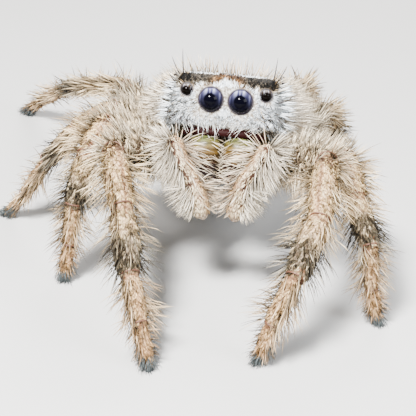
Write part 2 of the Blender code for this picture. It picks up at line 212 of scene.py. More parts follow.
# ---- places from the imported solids


def node_cloud(name):
    """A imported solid's points, in millimetres."""
    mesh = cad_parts[name].data
    flat = np.empty(len(mesh.vertices) * 3, np.float32)
    mesh.vertices.foreach_get("co", flat)
    return flat.reshape(-1, 3).astype(float) / MM


def node_middle(name):
    cloud = node_cloud(name)
    return (cloud.min(axis=0) + cloud.max(axis=0)) / 2.0


def node_radius(name):
    cloud = node_cloud(name)
    return float(np.mean(cloud.max(axis=0) - cloud.min(axis=0))) / 2.0


def long_ends(cloud, start_near):
    """The two ends of a long solid: its middle, plus and minus its reach along its longest direction."""
    middle = cloud.mean(axis=0)
    ahead = np.linalg.svd(cloud - middle, full_matrices=False)[2][0]
    if (start_near - middle) @ ahead > 0:
        ahead = -ahead
    reach = (cloud - middle) @ ahead
    return middle + ahead * reach.min(), middle + ahead * reach.max()


def head_frame():
    """The head frame's origin in the world, and its across, back and up directions as rows."""
    left, right = node_middle("left_front_middle_eye"), node_middle("right_front_middle_eye")
    across = unit(left - right)
    level = unit(np.cross(UP, across))
    pitch = sizes().body_pitch
    back = level * math.cos(pitch) - UP * math.sin(pitch)
    return (left + right) / 2.0 - back * EYE_DEPTH, np.array((across, back, np.cross(across, back)))


def from_head(local):
    """Head frame to world."""
    origin, axes = head_frame()
    return origin + np.asarray(local, float) @ axes


def to_head(points):
    """World to head frame."""
    origin, axes = head_frame()
    return (points - origin) @ axes.T


def leg_joints(leg):
    """Coxa root, hip, knee and the joints down to the tip of the tarsus, from the leg's solids."""
    number = int(leg[-1])
    mirror = np.array((SIDES[leg.split("_")[0]], 1.0, 1.0))
    root, hip = from_head(np.array(COXA_ROOTS[number]) * mirror), from_head(np.array(HIPS[number]) * mirror)
    ends = []
    near = hip
    for segment in SEGMENTS[1:]:
        start, end = long_ends(node_cloud(f"{leg}_{segment}"), near)
        ends.append((start, end))
        near = end
    joints = [root, hip, ends[0][0] - 0.03 * unit(ends[0][1] - ends[0][0])]
    joints += [(before[1] + after[0]) / 2.0 for before, after in zip(ends, ends[1:])]
    cloud = node_cloud(f"{leg}_tarsus")
    ahead = unit(cloud.mean(axis=0) - joints[-1])
    joints.append(joints[-1] + ahead * float(((cloud - joints[-1]) @ ahead).max()))
    return np.array(joints)


# ---- surfaces on a grid


def surface(kind, points, along, turns, **facts):
    """A closed surface as a grid: rows run along it, columns round it; the first and last rows are poles."""
    return {"kind": kind, "points": points, "along": along, "turns": turns, **facts}


def blend_radii(radii, t):
    """The parabola through a start, middle and end radius."""
    first, middle, last = radii
    return first * (1 - t) * (1 - 2 * t) + middle * 4 * t * (1 - t) + last * t * (2 * t - 1)


def limb(kind, start, end, radii, dorsal, rows=24, columns=26, squareness=10.0, **facts):
    """A circle carried from start to end, its radius the parabola through three radii, times
    the square root of 1 - |2t - 1|^squareness, which rounds both ends."""
    start, end = np.asarray(start, float), np.asarray(end, float)
    ahead = unit(end - start)
    dorsal = unit(dorsal - (dorsal @ ahead) * ahead)
    sideways = np.cross(dorsal, ahead)
    t, turns = crowded_ends(rows), full_turn(columns)
    radius = blend_radii(radii, t) * np.sqrt(np.clip(1.0 - np.abs(2 * t - 1) ** squareness, 0.0, 1.0))
    ring = circle(turns, sideways, dorsal)
    points = (start + t[:, None] * (end - start))[:, None, :] + radius[:, None, None] * ring
    return surface(kind, points, t, turns, start=start, end=end, radii=radii, ahead=ahead, dorsal=dorsal,
                   sideways=sideways, **facts)


def carried(direction, before, after):
    """A direction across a limb, turned by the least turn that takes before to after."""
    return direction - (direction @ after) / (1.0 + before @ after) * (before + after)


def upwards(ahead):
    """The direction across a limb that leans most upwards."""
    return unit(UP - ahead[2] * ahead)


def leg_limbs(leg):
    """The coxa and the five lengths of a leg, each overlapping the next so that they fuse. The tarsus
    stops short of its tip, where the claws grow."""
    joints = leg_joints(leg)
    scale, overlap, short_of_tip = LEG_SCALE[int(leg[-1])], 0.62, -0.10
    limbs = []
    ahead = unit(joints[1] - joints[0])
    dorsal = upwards(ahead)
    for index, segment in enumerate(("coxa",) + SEGMENTS):
        start, end = joints[index], joints[index + 1]
        following = unit(end - start)
        dorsal = carried(dorsal, ahead, following)
        ahead = following
        radii = tuple(r * scale for r in LEG_RADII[segment])
        first = start - ahead * radii[0] * overlap
        last = end + ahead * (radii[2] * overlap if segment != "tarsus" else short_of_tip)
        limbs.append(limb(segment, first, last, radii, dorsal))
    return limbs


def feeler_limbs(side):
    """The five lengths of one feeler, each overlapping the next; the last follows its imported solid."""
    word = "left" if side > 0 else "right"
    joints = from_head(np.array(FEELER_JOINTS) * (side, 1.0, 1.0))
    tip_start, tip_end = long_ends(node_cloud(f"{word}_feeler_tip"), joints[-2])
    joints[-2] = 0.5 * joints[-2] + 0.5 * tip_start
    joints[-1] = tip_end - 0.06 * unit(tip_end - tip_start)
    limbs = []
    overlap, past_tip = 0.6, 0.05
    ahead = unit(joints[1] - joints[0])
    dorsal = upwards(ahead)
    for index, radii in enumerate(FEELER_RADII):
        following = unit(joints[index + 1] - joints[index])
        dorsal = carried(dorsal, ahead, following)
        ahead = following
        last = index == FEELER_LAST
        end = joints[index + 1] + ahead * (past_tip if last else radii[2] * overlap)
        limbs.append(limb("feeler", joints[index] - ahead * radii[0] * overlap, end, radii, dorsal,
                          squareness=4.0 if last else 10.0, number=index))
    return limbs


def head_outline(back, turns, scale=1.0):
    """The head's outline at each distance back: a superellipse whose upper and lower halves have
    their own height and squareness, narrowed towards the top. Across and up, in the head frame."""
    half_width, top, bottom, narrowing = (curve_through(back, HEAD_SECTIONS, i)[:, None] for i in range(1, 5))
    side, rise = np.cos(turns)[None, :], np.sin(turns)[None, :]
    keel = np.clip((back[:, None] - 0.55) / 0.75, 0.0, 1.0)
    lower = FACE_SQUARENESS + (KEEL_SQUARENESS - FACE_SQUARENESS) * keel
    upper = BROW_SQUARENESS + (TOP_SQUARENESS - BROW_SQUARENESS) * keel
    square = np.where(rise > 0, upper, lower)
    middle = np.minimum(WIDEST_LEVEL, (top + bottom) / 2.0)
    reach = np.where(rise > 0, top - middle, middle - bottom)
    up = np.sign(rise) * np.abs(rise) ** (2.0 / square)
    across = half_width * np.sign(side) * np.abs(side) ** (2.0 / square) * (1.0 - narrowing * up)
    return across * scale, middle + reach * up * scale


def head_surface(rows_in_face=26, rows_behind=64, columns=96):
    """Head and thorax. The face is the first outline shrunk towards its middle by a share p, and it
    bulges forward as 1 - p^11; behind it the outline follows the sections and closes at the waist."""
    turns = full_turn(columns)
    first = HEAD_SECTIONS[0][0]
    share = np.linspace(0.0, 1.0, rows_in_face) ** 0.7
    face_across, face_up = head_outline(np.full(rows_in_face, first), turns, share[:, None])
    face_back = np.repeat((0.02 + (first - 0.02) * share ** 11.0)[:, None], columns, axis=1)
    last = HEAD_SECTIONS[-1][0]
    back = first + (last + 0.06 - first) * np.linspace(0.0, 1.0, rows_behind + 1)[1:]
    closing = np.sqrt(np.clip(1.0 - ((back - (last - 0.25)) / 0.31) ** 2, 0.0, 1.0))
    closing = np.where(back < last - 0.25, 1.0, closing)
    behind_across, behind_up = head_outline(back, turns, closing[:, None])
    across = np.vstack((face_across, behind_across))
    up = np.vstack((face_up, behind_up))
    backs = np.vstack((face_back, np.repeat(back[:, None], columns, axis=1)))
    local = np.stack((across, backs, up), axis=-1)
    along = np.linspace(0.0, 1.0, len(local))
    return surface("head", from_head(local), along, turns)


def abdomen_surface(rows=48, columns=60):
    """An egg carried along the abdomen's long direction, a coat's depth inside its solid: half width
    and half height times the square root of 1 - (2s - 1)^2, with s = t^0.9 and a finer front end."""
    cloud = node_cloud("abdomen")
    front, tail = long_ends(cloud, node_middle("waist"))
    ahead = unit(tail - front)
    up = upwards(ahead)
    sideways = np.cross(up, ahead)
    depth = sizes().abdomen_coat / MM
    start, end = front + ahead * depth * 0.6, tail - ahead * depth * 0.6
    half_width = np.abs((cloud - front) @ sideways).max() - depth
    half_height = np.abs((cloud - front) @ up).max() - depth
    t, turns = crowded_ends(rows), full_turn(columns)
    swell = np.clip(1.0 - (2 * t ** 0.9 - 1) ** 2, 0.0, 1.0) ** 0.46 * (1.0 - 0.14 * (1.0 - t) ** 2)
    ring = np.cos(turns)[:, None] * sideways * half_width + np.sin(turns)[:, None] * up * half_height
    points = (start + t[:, None] * (end - start))[:, None, :] + swell[:, None, None] * ring[None, :, :]
    return surface("abdomen", points, t, turns, start=start, end=end, ahead=ahead, dorsal=up,
                   sideways=sideways)


def small_parts():
    """Waist, breast plate, mouthparts and three pairs of spinnerets, each a rounded limb."""
    start, end = long_ends(node_cloud("waist"), from_head((0.0, 4.0, -0.9)))
    along = unit(end - start)
    parts = [limb("waist", start - along * 0.35, end + along * 0.35, (0.2, 0.17, 0.2), UP)]
    for kind, sides, first, last, radii in PARTS_BELOW:
        parts += [limb(kind, from_head(np.array(first) * (side, 1.0, 1.0)),
                       from_head(np.array(last) * (side, 1.0, 1.0)), radii, UP) for side in sides]
    start, end = long_ends(node_cloud("spinnerets"), node_middle("abdomen"))
    along = unit(end - start)
    level = unit(np.cross(UP, along))
    height = np.cross(along, level)
    for side in SIDES.values():
        for lift, out, reach, radius in SPINNERETS:
            off = level * side * out + height * lift
            base = start - along * 0.25 + level * side * out + height * lift
            tip = start + along * reach * np.linalg.norm(end - start) + off * 1.15
            radii = (radius, radius, radius * 0.7)
            parts.append(limb("spinneret", base, tip, radii, UP, rows=14, columns=14))
    return parts


def all_limbs():
    limbs = [part for leg in LEGS for part in leg_limbs(leg)]
    return limbs + [part for side in SIDES.values() for part in feeler_limbs(side)]


# ---- meshes

NO_FANS = np.zeros((0, 3), int)


def shell_faces(rows, columns):
    """Faces of a closed grid whose poles are its first and last points: fans at the ends, quads between."""
    rings = rows - 2
    at = 1 + np.arange(rings * columns).reshape(rings, columns)
    after = np.roll(at, -1, axis=1)
    quads = np.stack((at[:-1], after[:-1], after[1:], at[1:]), axis=-1).reshape(-1, 4)
    low = np.zeros(columns, int)
    high = np.full(columns, 1 + rings * columns)
    return quads, np.vstack((np.stack((low, after[0], at[0]), axis=-1),
                             np.stack((high, at[-1], after[-1]), axis=-1)))


def shell_points(points):
    """A grid's points as pole, rings, pole."""
    return np.vstack((points[0].mean(axis=0), points[1:-1].reshape(-1, 3), points[-1].mean(axis=0)))


def outward(points, quads, fans):
    """Turns the faces round if the closed shell's signed volume is negative."""
    middle = points.mean(axis=0)
    corners = points[quads[:, :3]] - middle
    volume = np.sum(np.cross(corners[:, 0], corners[:, 1]) * corners[:, 2])
    return (quads, fans) if volume > 0 else (quads[:, ::-1], fans[:, ::-1])


def joined_shells(shells):
    """Points, quads and triangles of many closed grids in one mesh."""
    points, quads, fans, first = [], [], [], 0
    for shell in shells:
        own = shell_points(shell["points"])
        rows, columns = shell["points"].shape[:2]
        own_quads, own_fans = outward(own, *shell_faces(rows, columns))
        points.append(own)
        quads.append(own_quads + first)
        fans.append(own_fans + first)
        first += len(own)
    return np.vstack(points), np.vstack(quads), np.vstack(fans)


def fill_mesh(mesh, points, quads, fans):
    """Writes points and faces of four and three corners into a mesh as whole arrays."""
    mesh.vertices.add(len(points))
    mesh.vertices.foreach_set("co", np.ascontiguousarray(points, np.float32).ravel())
    loops = np.concatenate((quads.ravel(), fans.ravel())).astype(np.int32)
    starts = np.concatenate((np.arange(len(quads)) * 4, len(quads) * 4 + np.arange(len(fans)) * 3))
    starts = starts.astype(np.int32)
    mesh.loops.add(len(loops))
    mesh.loops.foreach_set("vertex_index", loops)
    mesh.polygons.add(len(starts))
    mesh.polygons.foreach_set("loop_start", starts)
    mesh.update(calc_edges=True)
    mesh.validate()
    mesh.polygons.foreach_set("use_smooth", np.ones(len(mesh.polygons), bool))
    mesh.update()


def new_piece(name, mesh, material, nodes=()):
    """A finished piece: its object at the origin, with its material, riding on the body."""
    obj = bpy.data.objects.new(name, mesh)
    bpy.context.scene.collection.objects.link(obj)
    mesh.materials.clear()
    mesh.materials.append(material)
    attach(obj, "root")
    if nodes:
        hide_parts(*nodes)
    return obj


def set_marks(mesh, marks):
    """Stores one number a point for each mark."""
    for word, values in marks.items():
        layer = mesh.attributes.new(word, "FLOAT", "POINT")
        layer.data.foreach_set("value", np.ascontiguousarray(np.clip(values, 0.0, 1.0), np.float32))


def shell_marks(shell, word):
    """A shell's mark as pole, rings, pole, like its points."""
    grid = np.broadcast_to(shell["marks"][word], shell["points"].shape[:2])
    return np.concatenate(((grid[0].mean(),), grid[1:-1].ravel(), (grid[-1].mean(),)))


def shells_piece(name, shells, material, nodes=()):
    """One piece of closed shells, with the marks that they carry: grids, or columns of one value a row."""
    mesh = bpy.data.meshes.new(name)
    points, quads, fans = joined_shells(shells)
    fill_mesh(mesh, points * MM, quads, fans)
    set_marks(mesh, {word: np.concatenate([shell_marks(shell, word) for shell in shells])
                     for word in shells[0]["marks"]})
    return new_piece(name, mesh, material, nodes)


def fused_skin(shells, voxel):
    """One closed skin round all the shells: laid out in millimetres, fused on a grid of that size,
    eased, and then written in metres."""
    mesh = bpy.data.meshes.new("shells")
    points, quads, fans = joined_shells(shells)
    fill_mesh(mesh, points, quads, fans)
    obj = bpy.data.objects.new("shells", mesh)
    bpy.context.scene.collection.objects.link(obj)
    fuse = obj.modifiers.new("fuse", "REMESH")
    fuse.mode = "VOXEL"
    fuse.voxel_size = voxel
    fuse.use_smooth_shade = True
    soften = obj.modifiers.new("ease", "SMOOTH")
    soften.factor = 0.5
    soften.iterations = 4
    depsgraph = bpy.context.evaluated_depsgraph_get()
    skin = bpy.data.meshes.new_from_object(obj.evaluated_get(depsgraph))
    bpy.data.objects.remove(obj, do_unlink=True)
    bpy.data.meshes.remove(mesh)
    flat = np.empty(len(skin.vertices) * 3, np.float32)
    skin.vertices.foreach_get("co", flat)
    flat = flat.reshape(-1, 3)
    flat[:, 2] = np.maximum(flat[:, 2], FLOOR_GAPS["skin"])
    skin.vertices.foreach_set("co", (flat * MM).ravel())
    skin.update()
    return skin, flat.astype(float)


# ---- markings, the same on skin and coat


def leg_marks(segment, t, turn):
    """White, dark and warm shares on a leg: dark bands on the outer tibia, rust rings at the joints,
    a brown line along the top of the patella, and tan towards the foot."""
    ring = np.maximum(ease(0.10, 0.02, t), ease(0.90, 0.98, t))
    top = hump(math.pi / 2.0, 0.22, turn) * ease(0.02, 0.10, t)
    side_on = np.abs(np.cos(turn))
    zero = np.zeros_like(t)
    if segment in THIGH:
        return {"white": zero + 0.22, "dark": 0.11 + 0.22 * hump(0.78, 0.2, t), "warm": 0.06 + 0.25 * ring}
    if segment == "patella":
        return {"white": zero + 0.06, "dark": 0.03 + 0.10 * ring + 0.62 * top,
                "warm": 0.14 + 0.86 * top + 0.22 * ring}
    if segment == "tibia":
        band = ease(0.28, 0.58, t) * ease(0.96, 0.84, t)
        return {"white": zero + 0.10 + 0.12 * band, "dark": 0.06 + 0.68 * band,
                "warm": 0.16 * (1 - band) + 0.5 * ring}
    if segment == "metatarsus":
        tail = ease(0.88, 0.97, t)
        return {"white": zero + 0.08, "dark": 0.02 + 0.4 * tail,
                "warm": 0.62 * (1 - 0.5 * side_on) + 0.3 * ring}
    return {"white": zero + 0.05, "dark": 0.03 + 0.45 * ease(0.86, 1.0, t), "warm": 0.58 + 0.1 * ring}


def head_marks(local):
    """White, dark and warm shares on the head and thorax. The face is white up to the eyes, a dark band
    with a rusty middle lies under the head's front edge, and the sides and back are cream to tan."""
    across, back, up = local.T
    out = np.abs(across)
    face = ease(0.62, 0.30, back)
    behind = 1 - face
    ragged = 0.028 * np.sin(41.0 * across + 2.0 * np.sin(17.0 * across))
    low = 0.40 - 0.11 * ease(0.08, 0.34, out) - 0.05 * ease(0.50, 0.95, out) + ragged
    brow = (ease(low - 0.03, low + 0.09, up) * ease(0.60, 0.40, back) *
            ease(1.28, 1.12, out))
    edge = ease(0.596, 0.606, up) * ease(0.50, 0.42, back) * ease(1.10, 1.00, out)
    cheek = ease(1.6, 0.5, back) * ease(0.35, 0.0, up)
    white = face * (1 - brow) + (0.14 + 0.16 * cheek) * behind
    saddle = behind * ease(1.3, 0.5, out) * ease(0.0, 0.4, up)
    middle = ease(0.52, 0.20, out)
    dark = brow * (1.0 - 0.34 * middle) + 0.06 * behind + 0.22 * saddle
    warm = brow * (0.35 + 0.65 * middle) + behind * (0.20 + 0.25 * saddle)
    return {"white": np.maximum(white * (1 - saddle * 0.5), edge), "dark": dark * (1 - edge),
            "warm": warm * (1 - edge)}


def abdomen_marks(t, turn):
    """White, dark and warm shares on the abdomen: a pale band round the front, two dark bars along
    the top broken by three pairs of pale spots, and cream sides."""
    off = np.abs(np.degrees(turn) - 90.0)
    bars = hump(30.0, 17.0, off) * ease(0.30, 0.46, t) * ease(0.96, 0.88, t)
    spots = np.zeros_like(t)
    for place in (0.46, 0.64, 0.80):
        spots = np.maximum(spots, hump(place, 0.05, t) * hump(28.0, 15.0, off))
    front = ease(0.26, 0.14, t)
    return {"white": 0.26 + 0.12 * front + 0.6 * spots, "dark": 0.10 + 0.55 * bars * (1 - spots),
            "warm": 0.38 * (1 - front) * (1 - spots)}


def marks_of(part, t, turn, points):
    """White, dark and warm shares at places on a part: their share along it, turn round it and points."""
    if part["kind"] == "head":
        return head_marks(to_head(points))
    if part["kind"] == "abdomen":
        return abdomen_marks(t, turn)
    if part["kind"] == "feeler":
        tip = ease(0.80, 0.95, t) if part["number"] == FEELER_LAST else np.zeros_like(t)
        top = ease(0.75, 0.25, off_top(turn))
        return {"white": 0.26 + 0.3 * tip - 0.16 * top * (1 - tip), "dark": 0.01 + 0 * t,
                "warm": 0.10 + 0.40 * top * (1 - tip)}
    if part["kind"] in ("waist", "breast", "mouth", "spinneret"):
        return {"white": 0 * t, "dark": 0.35 + 0 * t, "warm": 0.6 + 0 * t}
    return leg_marks(part["kind"], t, turn)


def place_along(part, points):
    """How far points lie from a part's middle line, their share along it and their turn round it."""
    reach = np.linalg.norm(part["end"] - part["start"])
    t = np.clip(((points - part["start"]) @ part["ahead"]) / reach, 0.0, 1.0)
    off = points - (part["start"] + t[:, None] * (part["end"] - part["start"]))
    return np.linalg.norm(off, axis=1), t, np.arctan2(off @ part["dorsal"], off @ part["sideways"])


def place_on_limb(part, points):
    """How far points lie outside a limb's skin, their share along it and their turn round it."""
    away, t, turn = place_along(part, points)
    return away - blend_radii(part["radii"], t), t, turn


def painted_skin_shade(part, t, turn):
    """How much painted shade darkens the skin, standing in for the shade under the coat and below: 1 on the
    small parts below and on the feelers' sides, a little less on the thighs, and 0 on top of the outer
    lengths of the legs and along the feelers' midline."""
    if part["kind"] == "feeler":
        tip = ease(0.55, 0.85, t) if part["number"] == FEELER_LAST else 0.0
        return ease(0.80, 1.30, off_top(turn)) * (1.0 - tip)
    if part["kind"] in SEGMENTS[1:]:
        return ease(0.9, 1.7, off_top(turn))
    return np.full_like(t, 0.8 if part["kind"] in THIGH else 1.0)


def skin_marks(points):
    """Marks of the whole skin: each point takes those of the part it lies closest to. Besides the
    colour marks it has bare, where the skin shows rust, and deep, painted shade where the skin is darkened
    under long hair and below."""
    belly_reach, head_reach = 1.8, 0.05
    place = to_head(points)
    marks = head_marks(place)
    _, back, up = place.T
    on_crown = ease(0.10, 0.36, up + 0.28 * (back - 1.0)) * ease(4.2, 3.6, back)
    marks["bare"] = ease(-0.64, -0.69, up) * ease(0.50, 0.35, back)
    # deep is painted shade: behind the face the head's skin is darkened everywhere but the crown, as shade
    # under its coat
    marks["deep"] = (1.0 - on_crown) * ease(0.45, 0.60, back)
    belly = abdomen_surface(rows=12, columns=12)
    away, t, turn = place_along(belly, points)
    on_belly = ((points - belly["start"]) @ belly["ahead"] > -0.1) & (away < belly_reach)
    # the abdomen's skin takes a little painted shade
    for word, values in {**abdomen_marks(t, turn), "deep": 0.2}.items():
        marks[word] = np.where(on_belly, values, marks[word])
    nearest = np.full(len(points), head_reach)
    for part in all_limbs() + small_parts():
        distance, t, turn = place_on_limb(part, points)
        closer = distance < nearest
        for word, values in marks_of(part, t, turn, points).items():
            marks[word] = np.where(closer, values, marks[word])
        bare = np.maximum(ease(0.08, 0.02, t), ease(0.92, 0.98, t))
        bare = {"feeler": 0.3 + 0 * t, "femur": 0.4 * bare, "patella": 0.6 * bare}.get(part["kind"], bare)
        marks["bare"] = np.where(closer, bare, marks["bare"])
        # each part's painted shade: darker below and on the sides, lighter on top
        marks["deep"] = np.where(closer, painted_skin_shade(part, t, turn), marks["deep"])
        nearest = np.minimum(nearest, distance)
    return marks


# ---- coat


def scatter(grid, count, rng, favour=None):
    """Spots on a closed grid, count of them at the usual fullness, as many to each cell as its area,
    times favour, calls for, each at a random place in its cell, with the normal and the two
    directions of the surface there."""
    count = int(count * sizes().coat_fullness)
    points = grid["points"]
    columns = points.shape[1]
    wrapped = np.concatenate((points, points[:, :1]), axis=1)
    down, round_ = wrapped[1:, :-1] - wrapped[:-1, :-1], wrapped[:-1, 1:] - wrapped[:-1, :-1]
    far = wrapped[1:, 1:] - wrapped[1:, :-1]
    area = np.linalg.norm(np.cross(down, (round_ + far) / 2.0), axis=-1)
    if favour is not None:
        area = area * favour
    total = np.cumsum(area.ravel())
    pick = np.searchsorted(total, (np.arange(count) + rng.random(count)) / count * total[-1])
    row, column = np.divmod(np.minimum(pick, area.size - 1), columns)
    a, b = rng.random((2, count))[:, :, None]
    near = wrapped[row, column] * (1 - b) + wrapped[row, column + 1] * b
    away = wrapped[row + 1, column] * (1 - b) + wrapped[row + 1, column + 1] * b
    root = near * (1 - a) + away * a
    along = unit(away - near)
    around = unit((round_[row, column] + far[row, column]) / 2.0)
    normal = unit(np.cross(along, around))
    middle = points.mean(axis=1)[row]
    normal *= np.where(dot(normal, root - middle) < 0, -1.0, 1.0)
    t = grid["along"][row] * (1 - a[:, 0]) + grid["along"][row + 1] * a[:, 0]
    turn = grid["turns"][column] + b[:, 0] * (grid["turns"][1] - grid["turns"][0])
    return {"root": root, "along": unit(along - dot(along, normal) * normal), "normal": normal, "t": t,
            "turn": turn, "part": grid}


def chosen(spots, keep):
    """The spots where keep is true."""
    return {word: values if word == "part" else values[keep] for word, values in spots.items()}


def clear_of(spots, limbs):
    """Leaves out spots that lie inside another limb."""
    keep = np.ones(len(spots["root"]), bool)
    for part in limbs:
        if part is not spots["part"]:
            distance, t, _ = place_on_limb(part, spots["root"])
            keep &= ~((distance < -0.01) & (t > 0.02) & (t < 0.98))
    return chosen(spots, keep)


def nearest_guides(root, rng, members):
    """Picks one hair in so many as a guide, and gives every hair the guide whose root is nearest."""
    guides = rng.choice(len(root), max(1, len(root) // members), replace=False)
    square = np.sum(root ** 2, axis=1)
    apart = square[:, None] - 2.0 * root @ root[guides].T + square[guides]
    return guides[np.argmin(apart, axis=1)]


def hairs(spots, rng, length, width, lift, lay=None, curl=0.4, bend=None, spread=0.12, wave=0.18, rings=2,
          sink=0.02, flat=0.55, uneven=0.22, free=False, clump=0.0, members=7, least_tone=0.0, **shift):
    """Hairs from their roots. Each starts along the lay raised by lift degrees, and turns on its way
    towards the lay, plus bend; its middle line is the sum of those two directions, the first
    fading and the second growing along it. A free lay isn't laid down on the surface first. Ends
    are drawn the share clump of the way to the end of a guide hair near by, which makes tufts.
    Each hair's tone is at least least_tone, of 1 for the palest. A dark mark darkens all its hairs
    a little, and as large a share of them as its value a lot."""
    count = len(spots["root"])
    normal = spots["normal"]
    if lay is None:
        lay = spots["along"]
    elif not free:
        lay = unit(lay - dot(lay, normal) * normal)
    lift = np.radians(np.broadcast_to(lift, count) * (1 + uneven * rng.normal(size=count)))[:, None]
    start = np.cos(lift) * lay + np.sin(lift) * normal
    start += spread * rng.normal(size=(count, 3)) + wave * ripple(spots["root"], 0.45, 7)
    start = unit(start)
    start = np.where(dot(start, normal) < 0.08, unit(start + normal * 0.2), start)
    finish = unit(start + curl * lay + (0.0 if bend is None else bend))
    marks = marks_of(spots["part"], spots["t"], spots["turn"], spots["root"])
    marks = {word: marks[word] + shift.get(word, 0.0) for word in COLOUR_MARKS}
    length = np.broadcast_to(length, count) * (1 + uneven * rng.uniform(-1, 1, count))
    root, tone = spots["root"] - normal * sink, rng.random(count)
    picked = rng.random(count)
    if clump and count:
        guide = nearest_guides(root, rng, members)
        picked = picked[guide]
        end = root + length[:, None] * (start + finish) / 2.0
        end = end + clump * (end[guide] - end) + 0.012 * rng.normal(size=(count, 3))
        finish = 2.0 * (end - root) / length[:, None] - start
        tone = 0.45 * tone + 0.55 * tone[guide]
    marks["dark"] = 0.45 * marks["dark"] + 0.55 * (picked < marks["dark"])
    tone = least_tone + (1.0 - least_tone) * tone
    return {"root": root, "start": start, "finish": finish, "normal": normal, "length": length,
            "width": np.broadcast_to(width, count) * (1 + 0.25 * rng.uniform(-1, 1, count)),
            "flat": flat, "rings": rings, "tone": tone, "u": spots["turn"] / (2 * math.pi) % 1.0,
            "v": spots["t"], "part": spots["part"], **marks}


# Side of each hair's patch on its piece's UV map.
HAIR_PATCH = 0.003

# Share of a hair's width at each of its rings, for each number of rings.
TAPERS = {2: (0.80, 1.0), 3: (0.85, 1.0, 0.62), 4: (0.9, 1.0, 0.8, 0.5)}


def hair_arrays(batch):
    """Points, faces, marks and map places of one batch: three-cornered hairs of a few rings and a tip."""
    count, rings = len(batch["root"]), batch["rings"]
    stops = np.linspace(0.0, 1.0, rings + 1)
    start, finish = batch["start"][:, None, :], batch["finish"][:, None, :]
    s = stops[None, :, None]
    path = start * (s - s * s / 2) + finish * s * s / 2
    line = batch["root"][:, None, :] + batch["length"][:, None, None] * path
    ahead = unit(start * (1 - s) + finish * s)
    sideways = unit(np.cross(batch["start"], batch["normal"]) + 1e-6)[:, None, :]
    other = unit(np.cross(ahead, sideways))
    taper = np.array(TAPERS[rings])[None, :, None, None] * batch["width"][:, None, None, None] / 2.0
    turns = np.array((math.pi / 2, math.pi * 7 / 6, math.pi * 11 / 6))
    ring = (np.cos(turns)[None, None, :, None] * sideways[:, :, None, :] +
            np.sin(turns)[None, None, :, None] * other[:, :-1, None, :] * batch["flat"])
    body = line[:, :-1, None, :] + taper * ring
    each = rings * 3 + 1
    points = np.concatenate((body.reshape(count, rings * 3, 3), line[:, -1:, :]), axis=1)
    first = (np.arange(count) * each)[:, None, None]
    k = np.arange(3)
    low = (np.arange(rings - 1)[:, None] * 3 + k).reshape(-1)
    low_next = (np.arange(rings - 1)[:, None] * 3 + (k + 1) % 3).reshape(-1)
    quads = (first + np.stack((low, low_next, low_next + 3, low + 3), axis=-1)[None]).reshape(-1, 4)
    top = (rings - 1) * 3
    ends = np.vstack((np.stack((top + k, top + (k + 1) % 3, np.full(3, each - 1)), axis=-1), ((2, 1, 0),)))
    fans = (first + ends[None]).reshape(-1, 3)
    along = np.broadcast_to(np.concatenate((np.repeat(stops[:-1], 3), (1.0,))), (count, each))
    marks = {word: np.repeat(batch[word], each) for word in COLOUR_MARKS + ("tone",)}
    marks["along"] = along.ravel()
    across = np.tile(np.concatenate((np.tile((0.0, -1.0, 1.0), rings), (0.0,))), (count, 1))
    place = np.stack((batch["map_u"][:, None] + across * HAIR_PATCH / 2,
                      batch["map_v"][:, None] + (along - 0.5) * HAIR_PATCH), -1)
    return points.reshape(-1, 3), quads, fans, marks, place.reshape(-1, 2)


def mapped(batches):
    """Gives every hair its place on an unwrap of the skin: each part it grows from is a strip, its
    turn round the part across the strip and its share along the part up the strip."""
    strips = []
    for batch in batches:
        if not any(batch["part"] is strip for strip in strips):
            strips.append(batch["part"])
    for batch in batches:
        column = next(i for i, strip in enumerate(strips) if batch["part"] is strip)
        batch["map_u"] = (column + 0.03 + 0.94 * batch["u"]) / len(strips)
        batch["map_v"] = 0.01 + 0.98 * batch["v"]
    return batches


def coat_piece(name, batches, material=None):
    """One piece of coat from its batches of hairs, kept above the floor."""
    points, quads, fans, marks, places, first = [], [], [], [], [], 0
    for batch in mapped([b for b in batches if len(b["root"])]):
        own, own_quads, own_fans, own_marks, own_places = hair_arrays(batch)
        points.append(own)
        quads.append(own_quads + first)
        fans.append(own_fans + first)
        marks.append(own_marks)
        places.append(own_places)
        first += len(own)
    points = np.vstack(points)
    points[:, 2] = np.maximum(points[:, 2], FLOOR_GAPS["coat"])
    mesh = bpy.data.meshes.new(name)
    fill_mesh(mesh, points * MM, np.vstack(quads), np.vstack(fans))
    if len(mesh.vertices) != len(points):
        raise RuntimeError(f"{name}: the coat lost points")
    set_marks(mesh, {word: np.concatenate([m[word] for m in marks]) for word in marks[0]})
    loops = np.empty(len(mesh.loops), np.int32)
    mesh.loops.foreach_get("vertex_index", loops)
    layer = mesh.uv_layers.new(name="OFBake")
    layer.data.foreach_set("uv", np.vstack(places)[loops].astype(np.float32).ravel())
    triangles = sum(2 * len(q) + len(f) for q, f in zip(quads, fans))
    print(f"COAT {name}: {triangles} triangles")
    if triangles > PIECE_LIMIT:
        raise RuntimeError(f"{name}: {triangles} triangles is over the limit")
    return new_piece(name, mesh, material or coat_material())


# ---- materials


def empty_material(name):
    """A new material and its node tree."""
    material = bpy.data.materials.new(name)
    material.use_nodes = True
    return material, material.node_tree


def add_node(tree, kind, place):
    node = tree.nodes.new(kind)
    node.location = place
    return node


def feed(tree, socket, value):
    """Links a socket to another, or sets it to a number or a colour."""
    if hasattr(value, "links"):
        tree.links.new(value, socket)
    elif isinstance(value, (int, float)):
        socket.default_value = value
    else:
        socket.default_value = (*value, 1.0)


def mark_node(tree, word, place):
    """The mark of that name, as a number."""
    node = add_node(tree, "ShaderNodeAttribute", place)
    node.attribute_name = word
    return node.outputs["Fac"]


